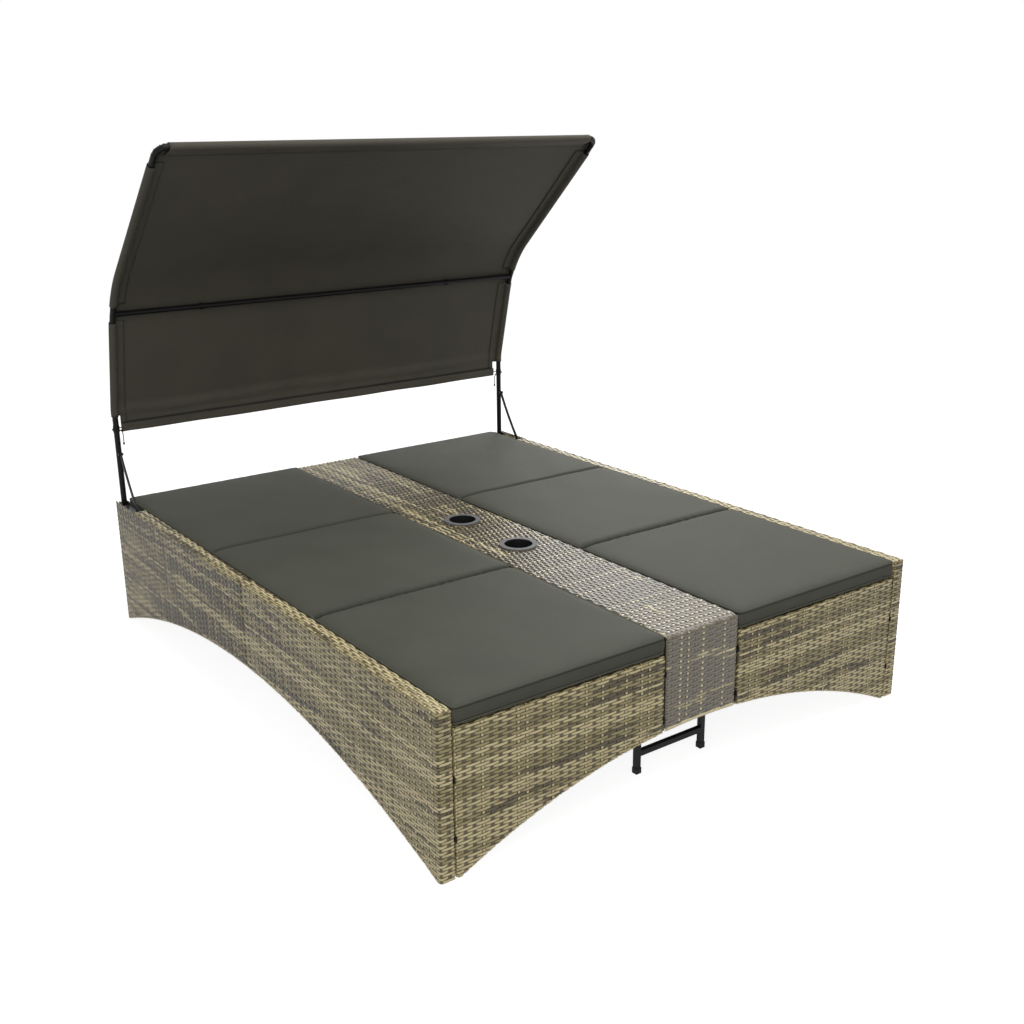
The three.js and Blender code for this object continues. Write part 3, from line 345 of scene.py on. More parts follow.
def darker(tint, share):
    return tuple(min(1.0, part * share) for part in tint)


def colour(value):
    return value if isinstance(value, Value) else (*value[:3], 1.0)


# How often the weave's streaks change to a metre: of one row, a pair of rows, all rows and one strand
ROW_STREAK, PAIR_STREAK, ZONE_STREAK, STRAND_STREAK = 2.4, 1.7, 1.5, 19.0
DARK_FROM, DARK_TO = 0.53, 0.57  # where the streaks turn to the dark strand
LIGHT_FROM, LIGHT_TO = 0.40, 0.62  # where khaki turns to beige
TONE_SHARE = 0.09  # how far a tone of 1 moves the streaks towards the dark strand
# Colour of the painted shade in the gaps between rows and in the dips beside the bare stakes
GAP_SHADE_COLOUR = (0.014, 0.012, 0.009)


def woven_finish(name, weave, gloss):
    """Resin strands in beige, khaki and grey-brown streaks along their rows, over light and dark stakes, with
    painted shade between the rows and beside the bare stakes.
    """
    finish = Finish(bpy.data.materials.new(name))
    along, row_place, tone = finish.parts(finish.attribute("weave"))
    rim = finish.attribute("rim", "Fac").ramp(0.3, 0.7)
    row = row_place.floor()
    stake = (along + 0.5).floor()
    metres = along * weave.stake
    luck = finish.chance(row)
    pair_luck = finish.chance((row * 0.5).floor() + 0.5)
    own = finish.noise(finish.vector(metres * ROW_STREAK + luck * 57.0, 3.0, 1.0), 1.0)
    pair = finish.noise(finish.vector(metres * PAIR_STREAK + pair_luck * 83.0, 5.0, 2.0), 1.0)
    zone = finish.noise(finish.vector(metres * ZONE_STREAK, row * 0.08, 4.0), 1.0)
    shade = finish.noise(finish.vector(metres * STRAND_STREAK + luck * 91.0, 7.0, 8.0), 1.0)
    depth = own * 0.42 + pair * 0.36 + zone * 0.22 + tone * TONE_SHARE
    light = finish.mix((shade * 0.6 + pair_luck * 0.4).ramp(LIGHT_FROM, LIGHT_TO), weave.olive, weave.light)
    strand = finish.mix(depth.ramp(DARK_FROM, DARK_TO), light, weave.dark)
    post = finish.mix(finish.chance(stake + 40.0).ramp(0.45, 0.5), weave.dark, weave.light)
    hidden = ((stake + row) * 0.5).fraction() * 2
    off = (along - stake).absolute()
    bare = hidden * off.ramp(STAKE_HALF + 0.02, STAKE_HALF - 0.02)
    shown = finish.mix(rim, finish.mix(bare, strand, post), weave.light)
    # Painted shade: the colour darkens in the gaps between rows and where a strand dips beside a bare stake,
    # but not on the rim
    row_gap_shade = (row_place - row - 0.5).absolute().ramp(0.26, 0.48)
    stake_dip_shade = hidden * off.ramp(0.34, STAKE_HALF) * (1 - bare)
    shadow = (row_gap_shade * 0.92).maximum(stake_dip_shade * 0.8) * (1 - rim)
    grain = finish.noise(finish.vector(metres * 40.0, row_place * 3.0, luck * 9.0), 4.0)
    return finish.surface(
        Base_Color=finish.mix(shadow, shown, GAP_SHADE_COLOUR),
        Roughness=shade * 0.2 + 0.16,
        Normal=finish.bump(grain, 0.0001, 0.5),
        Specular_IOR_Level=gloss,
    )


def cover_finish(name, tint, threads, roughness, gloss):
    """Close woven outdoor cloth, with a faint cloudiness and a fine thread, darkened by its seam attribute:
    painted shade in the cushions' folds and along their piping, and darker lines at the canopy's stitches.
    """
    finish = Finish(bpy.data.materials.new(name))
    place = finish.place()
    x, y, z = finish.parts(place)
    # The seam attribute mixes in painted shade at the cushions' folds and piping, and darker lines at the
    # canopy's stitches
    seam = finish.attribute("seam", "Fac")
    warp = (x * threads).sine() * (y * threads + z * threads).sine()
    cloud = finish.noise(place, 5.0, 3.0)
    fibre = finish.noise(place, 900.0, 2.0)
    tinted = finish.mix(cloud.ramp(0.3, 0.7), darker(tint, 0.88), darker(tint, 1.12))
    threaded = finish.mix((fibre * 0.5 + warp * 0.2 + 0.1).ramp(0.1, 0.6), darker(tint, 0.8), tinted)
    return finish.surface(
        Base_Color=finish.mix(seam.ramp(0.15, 0.9), threaded, darker(tint, 0.25)),
        Roughness=cloud * 0.1 + roughness,
        Specular_IOR_Level=gloss,
        Normal=finish.bump(warp + fibre, 0.00012, 0.6),
    )


def painted_finish(name, tint, roughness, gloss):
    """Powder coat or moulded plastic, with a fine orange peel."""
    finish = Finish(bpy.data.materials.new(name))
    place = finish.place()
    peel = finish.noise(place, 700.0, 2.0)
    scuff = finish.noise(place, 30.0, 4.0)
    return finish.surface(
        Base_Color=finish.mix(scuff.ramp(0.4, 0.75), tint, darker(tint, 1.6)),
        Roughness=scuff * 0.14 + roughness,
        Specular_IOR_Level=gloss,
        Normal=finish.bump(peel, 0.00005, 0.5),
    )


def steel_finish(name):
    """Bare zinc-plated steel with rolling marks."""
    finish = Finish(bpy.data.materials.new(name))
    x, y, z = finish.parts(finish.place())
    brushed = finish.noise(finish.vector(x * 900.0, y * 40.0, z * 900.0), 1.0, 3.0)
    cloud = finish.noise(finish.place(), 25.0, 3.0)
    tinted = finish.mix(cloud.ramp(0.3, 0.7), (0.20, 0.20, 0.21), (0.33, 0.33, 0.34))
    return finish.surface(
        Base_Color=tinted,
        Metallic=0.85,
        Roughness=brushed * 0.2 + 0.26,
        Normal=finish.bump(brushed, 0.00004, 0.6),
    )


def bracket_finish(name, plate_top):
    """A zinc-plated plate with black cheeks standing on it, from plate_top upward."""
    finish = Finish(bpy.data.materials.new(name))
    x, y, z = finish.parts(finish.place())
    above = z > plate_top
    rolled = finish.noise(finish.vector(x * 400.0, y * 40.0, z * 400.0), 1.0, 3.0)
    tinted = finish.mix(above, (0.17, 0.17, 0.18), (0.007, 0.007, 0.008))
    return finish.surface(
        Base_Color=tinted,
        Metallic=(1 - above) * 0.7,
        Roughness=rolled * 0.2 + 0.32,
        Normal=finish.bump(rolled, 0.00004, 0.6),
    )


def cup_finish(name, centre, top):
    """Grey moulded rim with a black well."""
    finish = Finish(bpy.data.materials.new(name))
    place = finish.place()
    x, y, z = finish.parts(place)
    away = ((x - centre.x) ** 2.0 + (y - centre.y) ** 2.0).root()
    well = away.ramp(WELL_RADIUS + WELL_BLUR, WELL_RADIUS - WELL_BLUR) * (z < top - WELL_DROP)
    peel = finish.noise(place, 900.0, 2.0)
    tinted = finish.mix(well, (0.15, 0.147, 0.15), (0.006, 0.006, 0.007))
    return finish.surface(
        Base_Color=tinted,
        Roughness=peel * 0.1 + 0.5,
        Normal=finish.bump(peel, 0.00004, 0.5),
        Specular_IOR_Level=0.25,
    )


# Mesh helpers

def steps(length, pitch, shares):
    """Grid lines over a length, a few to each pitch, and how many pitches there are."""
    count = max(1, round(length / pitch))
    lines = (np.arange(count)[:, None] + np.array(shares)).ravel() / count
    return np.append(lines, 1.0) * length, count


def face_grid(bm, lines, axis, value):
    """A grid over one face of a box, with its lines at the given places on the two other axes."""
    a, b = [k for k in range(3) if k != axis]
    columns, rows = len(lines[a]) - 1, len(lines[b]) - 1
    made = bmesh.ops.create_grid(bm, x_segments=columns, y_segments=rows, size=0.5)
    for vert in made["verts"]:
        place = [value] * 3
        place[a] = lines[a][round((vert.co.x + 0.5) * columns)]
        place[b] = lines[b][round((vert.co.y + 0.5) * rows)]
        vert.co = place
    return made["verts"]


def weld(bm):
    bmesh.ops.remove_doubles(bm, verts=bm.verts, dist=WELD)


def open_edges(bm):
    return [edge for edge in bm.edges if edge.is_boundary]


def close_holes(bm):
    """Welds the grids at their shared edges and closes the openings that are left."""
    weld(bm)
    bmesh.ops.holes_fill(bm, edges=open_edges(bm), sides=0)
    bmesh.ops.recalc_face_normals(bm, faces=bm.faces)


def mesh_from(bm, name):
    mesh = bpy.data.meshes.new(name)
    bm.to_mesh(mesh)
    bm.free()
    return mesh


def places_of(mesh):
    co = np.zeros(len(mesh.vertices) * 3)
    mesh.vertices.foreach_get("co", co)
    return co.reshape(-1, 3)


def set_places(mesh, co):
    mesh.vertices.foreach_set("co", co.astype(np.float32).ravel())
    mesh.update()


def set_attribute(mesh, name, values):
    values = np.asarray(values, np.float32)
    kind, field = ("FLOAT", "value") if values.ndim == 1 else ("FLOAT_VECTOR", "vector")
    mesh.attributes.new(name, kind, "POINT").data.foreach_set(field, values.ravel())


def shade_smooth(mesh, most_sides=4):
    """Smooth faces, apart from the large flat ones that close a hidden side."""
    smooth = [len(face.vertices) <= most_sides for face in mesh.polygons]
    mesh.polygons.foreach_set("use_smooth", smooth)


def add_object(name, data):
    made = bpy.data.objects.new(name, data)
    bpy.context.scene.collection.objects.link(made)
    return made


def add_piece(name, data, material, slot, body, *replaced):
    """A piece with its material in its one slot, which rides a body, if one is named, and replaces the named
    solids; the slot argument is not used.
    """
    piece = add_object(name, data)
    data.materials.clear()
    data.materials.append(material)
    if replaced:
        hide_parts(*replaced)
    if body:
        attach(piece, body)
    return piece


def tube_curve(name, radius, resolution):
    """A curve with a round section, without its points."""
    curve = bpy.data.curves.new(name, "CURVE")
    curve.dimensions = "3D"
    curve.bevel_depth = radius
    curve.bevel_resolution = resolution
    return curve


def round_off(bm, edges, width):
    bmesh.ops.bevel(bm, geom=edges, offset=width, segments=2, profile=0.5, affect="EDGES", material=-1)


def rounded(co, low, high, low_radius, high_radius):
    """The corners and edges of a box rounded, each side with its own radius, and the way out of it."""
    core = np.clip(co, low + low_radius, high - high_radius)
    away = co - core
    radius = np.where(away < 0, low_radius, high_radius)
    unit = away / np.maximum(radius, WELD)
    unit /= np.maximum(np.linalg.norm(unit, axis=1, keepdims=True), WELD)
    return core + unit * radius, unit


def arch_height(distance, half_span, rise):
    radius = (half_span**2 + rise**2) / (2 * rise)
    inside = np.minimum(np.abs(distance), half_span)
    return np.sqrt(radius**2 - inside**2) - (radius - rise)


def fade(distance, reach):
    """1 on a line, falling off on both sides."""
    return np.exp(-np.abs(distance) / reach)


def bell(distance, reach):
    """1 on a line, falling off in a round bell on both sides."""
    return np.exp(-((distance / reach) ** 2))


def hashed(*numbers):
    """A fixed random share for each set of whole numbers."""
    total = sum(number * factor for number, factor in zip(numbers, HASH_FACTORS))
    return np.modf(np.abs(np.sin(total) * HASH_STRETCH))[0]


def strand_height(along, row, across):
    """Height of a strand over and under its stakes, as a share of the crest."""
    over = np.clip(STRAND_SWING * np.cos(np.pi * (along + row)) + STRAND_LIFT, STRAND_LOWEST, 1.0)
    lift = STRAND_UNEVEN * (hashed(row, np.floor((along + row + 1) / 2)) - 0.5)
    return over + lift - np.abs(2 * across - 1) ** 3


def weave_relief(along, up):
    """Height of a plain weave as a share of its crest: its strands, or a stake that stands between them."""
    row = np.floor(up + GRID_SLACK)
    across = up - row
    strand = strand_height(along, row, across)
    below = strand_height(along, row - 1, np.ones_like(across))
    strand = np.where(across < 10 * GRID_SLACK, np.maximum(strand, below), strand)
    off = np.abs(along - np.round(along))
    stake = np.where(off < STAKE_HALF + 10 * GRID_SLACK, STAKE_HEIGHT - 10 * off**2, STAKE_HIDDEN)
    return np.maximum(strand, stake)


def rim_height(share):
    """Height of the strand that is wrapped along an arch, from one of its edges to the other."""
    return 1.0 - 1.5 * np.abs(2 * share - 1) ** 3


def ripples(x, y, size, seed):
    """A smooth uneven surface about zero, of the given wavelength and height, made of a few waves."""
    wavelength, height = size[:2]
    rng = np.random.RandomState(seed)
    total = np.zeros_like(x)
    for _ in range(RIPPLE_WAVES):
        turn, phase, stretch = rng.uniform(0, math.pi), rng.uniform(0, 2 * math.pi), rng.uniform(0.6, 1.7)
        wave = 2 * math.pi / (wavelength * stretch)
        total += np.sin((x * math.cos(turn) + y * math.sin(turn)) * wave + phase)
    return total / RIPPLE_WAVES * height


# Woven panels

class Wall:
    """A woven wall, drawn at the head end on the right: its box, and which axis runs along it."""

    def __init__(self, low, high, along_axis, arch, radii, rim):
        self.low = np.array(low)
        self.high = np.array(high)
        self.rim = rim
        self.along = along_axis
        self.across = 1 - along_axis
        self.arch = arch
        self.low_radius, self.high_radius = (np.array(r) for r in radii)

    def foot(self, co):
        """The arch over each place, or the panel's lower edge."""
        return np.maximum(arch_height(co[:, self.along], *self.arch), self.low[2])

    def lip(self, co):
        return np.zeros(len(co), bool)

    def top(self, co):
        return np.full(len(co), self.high[2])


class SideWall(Wall):
    def lip(self, co):
        """The panel's outer skin beside the recess, which stands up to the panel's full height."""
        return (co[:, 0] >= self.high[0] - WELD) & (co[:, 1] > RECESS_START)

    def top(self, co):
        """The panel's top, lower in the recess for the canopy's bracket."""
        into = np.clip((co[:, 1] - RECESS_START) / STEP_RUN, 0, 1) * ~self.lip(co)
        return self.high[2] + into * (RECESS_FLOOR - self.high[2])


def wall_lines(wall, weave, extra=()):
    """Grid lines of a wall along, across and up, and the strands to a metre of each."""
    size = wall.high - wall.low
    along, stakes = steps(size[wall.along], weave.stake, STAKE_SHARES)
    if len(extra):
        along = np.union1d(along, np.array(extra) - wall.low[wall.along])
    across, rows_across = steps(size[wall.across], weave.strand, STRAND_SHARES)
    up, rows = steps(size[2], weave.strand, STRAND_SHARES)
    lines = [None, None, up + wall.low[2]]
    lines[wall.along] = along + wall.low[wall.along]
    lines[wall.across] = across + wall.low[wall.across]
    return lines, (stakes / size[wall.along], rows_across / size[wall.across], rows / size[2])


def clamp_height(bm, wall):
    """Draws the grids in to the arch below and to the top above."""
    bm.verts.ensure_lookup_table()
    co = np.array([vert.co for vert in bm.verts])
    z = np.clip(co[:, 2], wall.foot(co), wall.top(co))
    for vert, height in zip(bm.verts, z):
        vert.co.z = height


def dress_wall(mesh, wall, weave, counts, end_face, tone):
    """Rounds a wall's edges, raises its strands and notes them for the finish."""
    co = places_of(mesh)
    low, high = np.tile(wall.low, (len(co), 1)), np.tile(wall.high, (len(co), 1))
    low[:, 2], high[:, 2] = wall.foot(co), wall.top(co)
    along_count, across_count, up_count = counts
    along = co[:, wall.along] - wall.low[wall.along]
    inward = wall.high[wall.across] - co[:, wall.across]
    on_top = co[:, 2] >= high[:, 2] - WELD
    on_end = (co[:, wall.along] >= wall.high[wall.along] - WELD) & ~on_top & end_face
    on_front = (inward <= WELD) & ~on_top & ~on_end
    u = (along + np.where(on_end, inward, 0)) * along_count
    v = (co[:, 2] - wall.low[2]) * up_count + np.where(on_top, inward, 0) * across_count
    above = co[:, 2] - low[:, 2]
    rim = (above < wall.rim) & (on_front | on_end)
    lip = wall.lip(co)[:, None]
    place, way = rounded(co, low, high, wall.low_radius, np.where(lip, LIP_RADIUS, wall.high_radius))
    way[:, wall.along] *= end_face
    raised = Weaving(u, v, rim, above / wall.rim, on_top | on_end | on_front)
    raised.dress(mesh, place, way, weave.crest, np.full(len(co), float(tone)))


class Weaving:
    """A weave over the places of a mesh: strands along and up, the wrapped rim, and the height of it all."""

    def __init__(self, along, up, rim, across_rim, shown):
        self.along = along
        self.up = up
        self.rim = rim
        self.height = np.where(shown, np.where(rim, rim_height(across_rim), weave_relief(along, up)), 0)

    def dress(self, mesh, place, way, crest, tone):
        """Raises the strands of a mesh and notes them, with how dark they are, for the finish."""
        set_places(mesh, place + way * (self.height * crest)[:, None])
        set_attribute(mesh, "weave", np.stack([self.along, self.up, tone], 1))
        set_attribute(mesh, "rim", self.rim)
        shade_smooth(mesh)


def add_woven(name, mesh, x_hand, y_hand, material, slot="woven_resin"):
    """Turns a mesh that was drawn at the head end on the right to its own corner and adds it."""
    mesh.transform(Matrix.Diagonal((x_hand, y_hand, 1, 1)))
    if x_hand * y_hand < 0:
        mesh.flip_normals()
    add_piece(f"woven_{name}", mesh, material, slot, "root", name)


def build_wall(name, wall, weave, end_face, tone, extra=()):
    """A woven wall as one closed mesh: front, top and underside, a plain back, and an end where it shows."""
    lines, counts = wall_lines(wall, weave, extra)
    bm = bmesh.new()
    face_grid(bm, lines, wall.across, wall.high[wall.across])
    face_grid(bm, lines, 2, wall.high[2])
    face_grid(bm, lines, 2, wall.low[2])
    plain = list(lines)
    plain[2] = lines[2][[0, -1]]
    if end_face:
        face_grid(bm, lines, wall.along, wall.high[wall.along])
        plain[wall.along] = lines[wall.along][:-1]
    face_grid(bm, plain, wall.across, wall.low[wall.across])
    clamp_height(bm, wall)
    close_holes(bm)
    mesh = mesh_from(bm, name)
    dress_wall(mesh, wall, weave, counts, end_face, tone)
    return mesh


def build_side_panel(side, end, weave, material):
    low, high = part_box(f"side_panel_right_{end}")
    near, far = sorted((abs(low.y), abs(high.y)))
    kind = SideWall if end == "head" else Wall
    radii = ((WRAP_RADIUS, SEAM_RADIUS, SEAM_RADIUS), (WRAP_RADIUS, WRAP_RADIUS, WRAP_RADIUS))
    wall = kind((low.x, near, 0), (high.x, far, high.z), 1, SIDE_ARCH, radii, EDGE_RIM)
    extra = (RECESS_START, RECESS_START + STEP_RUN) if end == "head" else ()
    name = f"side_panel_{side}_{end}"
    mesh = build_wall(f"woven_{name}", wall, weave, True, SIDE_TONES[end], extra)
    add_woven(name, mesh, SIDES[side], ENDS[end], material)


def build_end_panel(side, end, weave, material):
    low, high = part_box("head_panel_right")
    radii = ((SEAM_RADIUS, WRAP_RADIUS, SEAM_RADIUS), (SEAM_RADIUS, WRAP_RADIUS, WRAP_RADIUS))
    wall = Wall((low.x, low.y, 0), high, 0, END_ARCH, radii, EDGE_RIM)
    name = f"{end}_panel_{side}"
    mesh = build_wall(f"woven_{name}", wall, weave, False, END_TONE)
    add_woven(name, mesh, SIDES[side], ENDS[end], material)


def extruded(bm, edges):
    """Extrudes open edges and gives their new corners and new open edges."""
    made = bmesh.ops.extrude_edge_only(bm, edges=edges)["geom"]
    verts = [part for part in made if isinstance(part, bmesh.types.BMVert)]
    return verts, [part for part in made if isinstance(part, bmesh.types.BMEdge) and part.is_boundary]


def cut_cup_hole(bm, centre, top, ceiling):
    """Opens the woven top for a cup holder and lines the hole down to the inside."""
    around = []
    for face in bm.faces:
        middle = face.calc_center_median()
        if middle.z > top - WELD and (middle.xy - centre).length < CUP_HOLE:
            around.append(face)
    bmesh.ops.delete(bm, geom=around, context="FACES")
    rim = [e for e in open_edges(bm) if (e.verts[0].co.xy - centre).length < CUP_HOLE * CUP_RIM_REACH]
    for vert in {v for e in rim for v in e.verts}:
        vert.co.xy = centre + (vert.co.xy - centre).normalized() * CUP_HOLE
    verts, edges = extruded(bm, rim)
    for vert in verts:
        vert.co.z = ceiling
    return edges


def line_console(bm, wall, hole_edges):
    """Gives the console's shell its inside: a lower edge, inner walls and a ceiling round the cup's hole."""
    inner_low, inner_high = wall.low + CONSOLE_WALL, wall.high - CONSOLE_WALL
    hole = set(hole_edges)
    edges = [e for e in open_edges(bm) if e not in hole]
    for lift in (False, True):
        verts, edges = extruded(bm, edges)
        for vert in verts:
            if lift:
                vert.co.z = inner_high[2]
            else:
                vert.co.x = min(max(vert.co.x, inner_low[0]), inner_high[0])
                vert.co.y = min(max(vert.co.y, inner_low[1]), inner_high[1])
    weld(bm)
    bmesh.ops.triangle_fill(bm, edges=open_edges(bm), use_beauty=True, use_dissolve=False)


def build_console(end, hand, weave, material):
    """One half of the console: a woven top and front over an open shell, with a hole for its cup holder."""
    name = f"console_{end}"
    low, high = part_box("console_head")
    cup_low, cup_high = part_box(f"cup_holder_{end}")
    centre = Vector((0, hand * (cup_low.y + cup_high.y) / 2))
    radii = ((CONSOLE_RADIUS, SEAM_RADIUS, SEAM_RADIUS), (CONSOLE_RADIUS, CONSOLE_RADIUS, CONSOLE_RADIUS))
    wall = Wall(low, high, 1, END_ARCH, radii, weave.rim)
    lines, counts = wall_lines(wall, weave)
    bm = bmesh.new()
    face_grid(bm, lines, 2, high.z)
    face_grid(bm, lines, 1, high.y)
    plain = [lines[0], lines[1][:-1], lines[2][[0, -1]]]
    for x in (low.x, high.x):
        face_grid(bm, plain, 0, x)
    face_grid(bm, plain, 1, low.y)
    weld(bm)
    last = lines[1][-2] - WELD
    for x in (low.x, high.x):
        strip = [e for e in open_edges(bm) if all(abs(v.co.x - x) < WELD and v.co.y > last for v in e.verts)]
        bmesh.ops.holes_fill(bm, edges=strip, sides=0)
    for vert in bm.verts:
        if vert.co.z < low.z + WELD and vert.co.y > high.y - WELD:
            vert.co.z = float(arch_height(np.array(vert.co.x), *END_ARCH))
    hole = cut_cup_hole(bm, centre, high.z, high.z - CONSOLE_WALL)
    line_console(bm, wall, hole)
    bmesh.ops.recalc_face_normals(bm, faces=bm.faces)
    mesh = mesh_from(bm, f"woven_{name}")
    dress_console(mesh, wall, weave, counts, CONSOLE_TONES[end])
    add_woven(name, mesh, 1, hand, material, "console_resin")


def dress_console(mesh, wall, weave, counts, tones):
    """Rounds the console's edges and raises its strands, lengthways on top and crossways in front."""
    co = places_of(mesh)
    along_count, across_count, up_count = counts
    across, along, _ = (co - wall.low).T
    down = wall.high[2] - co[:, 2]
    on_top = co[:, 2] >= wall.high[2] - WELD
    on_front = (co[:, 1] >= wall.high[1] - WELD) & ~on_top
    outer = on_top | on_front | (np.abs(co[:, 0]) >= wall.high[0] - WELD) | (co[:, 1] <= wall.low[1] + WELD)
    u = np.where(on_front, across / weave.stake, along * along_count)
    v = np.where(on_front, down * up_count + CONSOLE_FRONT_ROW, across * across_count)
    above = co[:, 2] - arch_height(co[:, 0], *END_ARCH)
    rim = (above < wall.rim) & on_front
    place, way = rounded(co, wall.low, wall.high, wall.low_radius, wall.high_radius)
    place = np.where(outer[:, None], place, co)
    place[:, 2] = np.where(on_front & (above < SEAM_RADIUS), co[:, 2], place[:, 2])
    tone = np.where(on_front, CONSOLE_FRONT_TONE, np.interp(co[:, 1], CONSOLE_FADE, tones))
    raised = Weaving(u, v, rim, above / wall.rim, on_top | on_front)
    raised.dress(mesh, place, way, weave.crest, tone)


# Cushions

FOLD_SHARP = (0.020, 0.018)  # depth and half width of the fold at the backrest
FOLD_SOFT = (0.016, 0.028)
SOFT_PLACE = -0.351  # of the second fold, from the middle
FOLD_LINES = (0, 0.0004, 0.0012, 0.0026, 0.0045, 0.007, 0.010, 0.013, 0.017, 0.022, 0.028)
EDGE_LINES = np.array((0.0015, 0.0035, 0.006))
FOLD_CLEARANCE = 0.004  # even grid lines this near a fold's own lines are left out
SHARP_PULL = (0.009, 0.008)  # how far the sides pull in at a fold, and the reach of that
SOFT_PULL = (0.005, 0.010)
SIDE_BULGE = 0.003
CORNER_RADIUS = 0.014
CROWN_TOP = 0.0055  # above the plain cushion's top
PIPE_TOP = 0.009  # top piping below the crown
PIPE_BOTTOM = 0.010  # bottom piping above the underside
CROWN_REACHES = (0.030, 0.007)  # of the top's two roundings, from the edge
BOTTOM_REACH = 0.018
UNEVEN = (0.22, 0.0016)  # wavelength and height of the top's slight waves
PUCKER = (0.028, 0.0007, 0.02)  # wavelength, height and reach along the piping
GATHER = (0.022, 0.0025, 0.02)  # wavelength, height and reach along the second fold
HINGE_LIFT = (0.006, 0.03)  # of the underside over the hinge, and its reach
SEAM_INSET = 0.001
# How far the painted shade reaches from the folds' creases, beside the piping and below it
SEAM_SHADE_REACHES = {"sharp": 0.010, "soft": 0.018, "sewn": 0.005, "below": 0.007}


def fold_depth(distance, fold):
    """Depth of a sewn fold between two rounded edges."""
    depth, width = fold
    share = 1 - np.clip(distance / width, 0, 1)
    return depth * (1 - np.sqrt(1 - share**2))


class Pad:
    """The shape of one long cushion: its box and the places of its two sewn folds."""

    def __init__(self, side):
        self.low, seat_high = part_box(f"cushion_seat_{side}")
        self.high = Vector((seat_high.x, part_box(f"cushion_back_{side}")[1].y, seat_high.z))
        self.seed = {"left": 3, "right": 11}[side]
        rod_low, rod_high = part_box(f"hinge_rod_{side}")
        self.sharp = (rod_low.y + rod_high.y) / 2
        self.soft = SOFT_PLACE

    def shape(self, co):
        """Turns places on the cushion's plain box into places on the sewn cushion."""
        low, high = np.array(self.low), np.array(self.high)
        share = (co[:, 2] - low[2]) / (high[2] - low[2])
        centre, half = (low + high)[:2] / 2, (high - low)[:2] / 2
        flat = co[:, :2] - centre
        core = np.clip(flat, -(half - CORNER_RADIUS), half - CORNER_RADIUS)
        away = flat - core
        longest = np.abs(away).max(1)
        norm = np.maximum(np.linalg.norm(away, axis=1), WELD)
        plan = core + away * (longest / norm)[:, None]
        inward = np.minimum(half - np.abs(flat), 10).min(1)
        sharp = np.abs(co[:, 1] - self.sharp)
        soft = np.abs(co[:, 1] - self.soft)
        side = np.abs(plan[:, 0]) / half[0]
        pull = SHARP_PULL[0] * fade(sharp, SHARP_PULL[1]) + SOFT_PULL[0] * fade(soft, SOFT_PULL[1])
        edge = np.sin(np.pi * np.clip(share, 0, 1)) * SIDE_BULGE - SEAM_INSET
        plan = plan * (1 + (edge * (inward < WELD) - pull * side**6)[:, None] / half)
        crown = 1 - 0.5 * sum(fade(inward, reach) for reach in CROWN_REACHES)
        top = high[2] + CROWN_TOP - PIPE_TOP * (1 - crown)
        bottom = low[2] + PIPE_BOTTOM * fade(inward, BOTTOM_REACH)
        near_top = np.clip(share, 0, 1)
        z = bottom + (top - bottom) * near_top
        uneven = ripples(co[:, 0], co[:, 1], UNEVEN, self.seed) * crown
        pucker = ripples(co[:, 0], co[:, 1], PUCKER, self.seed + 1) * fade(inward, PUCKER[2])
        gather = ripples(co[:, 0], co[:, 1] * 0.2, GATHER, self.seed + 2) * bell(soft, GATHER[2])
        valley = fold_depth(sharp, FOLD_SHARP) + fold_depth(soft, FOLD_SOFT)
        z += near_top * (uneven + pucker + gather - valley)
        z += (1 - near_top) * HINGE_LIFT[0] * bell(sharp, HINGE_LIFT[1])
        return np.column_stack([plan + centre, z])

    def seams(self, co):
        """How much painted shade each place of the plain box gets: in the creases of the folds, along the
        piping and in a dark line on the wall below it.
        """
        low, high = np.array(self.low), np.array(self.high)
        sharp = fade(co[:, 1] - self.sharp, SEAM_SHADE_REACHES["sharp"])
        soft = fade(co[:, 1] - self.soft, SEAM_SHADE_REACHES["soft"])
        level = np.minimum(co[:, 2] - low[2], high[2] - co[:, 2])
        inset = np.minimum(co - low, high - co)[:, :2].min(1)
        sewn = fade(np.hypot(level, inset), SEAM_SHADE_REACHES["sewn"])
        below = np.exp(-((level / SEAM_SHADE_REACHES["below"]) ** 4)) * (inset < WELD)
        return np.max([sharp, soft * 0.85, sewn * 0.7, below], axis=0)


def pad_lines(pad, cell):
    """Grid lines of a cushion, closer together at its folds and edges."""
    near = np.array(FOLD_LINES)
    folds = np.concatenate([y + side * near for y in (pad.sharp, pad.soft) for side in (-1, 1)])
    lines = []
    for low, high in zip(pad.low, pad.high):
        count = round((high - low) / cell)
        places = [np.linspace(low, high, count + 1), low + EDGE_LINES, high - EDGE_LINES]
        lines.append(np.unique(np.concatenate(places)))
    lines[1] = np.unique(np.round(np.concatenate([clear_of(lines[1], folds, FOLD_CLEARANCE), folds]), 6))
    return lines


def clear_of(values, others, reach):
    return values[np.abs(values[:, None] - others).min(1) > reach]


def pad_piping(bm, pad, lines, share, radius):
    """A round piping sewn along the edge of the cushion at one height."""
    z = pad.low.z + (pad.high.z - pad.low.z) * share
    x, y = lines[0], lines[1]
    loop = [(a, y[0], z) for a in x[:-1]] + [(x[-1], b, z) for b in y[:-1]]
    loop += [(a, y[-1], z) for a in x[:0:-1]] + [(x[0], b, z) for b in y[:0:-1]]
    path = pad.shape(np.array(loop))
    curve = tube_curve("piping", radius, 2)
    spline = curve.splines.new("POLY")
    spline.points.add(len(path) - 1)
    spline.points.foreach_set("co", np.column_stack([path, np.ones(len(path))]).ravel())
    spline.use_cyclic_u = True
    holder = add_object("piping", curve)
    tube = bpy.data.meshes.new_from_object(holder)
    bm.from_mesh(tube)
    bpy.data.objects.remove(holder)


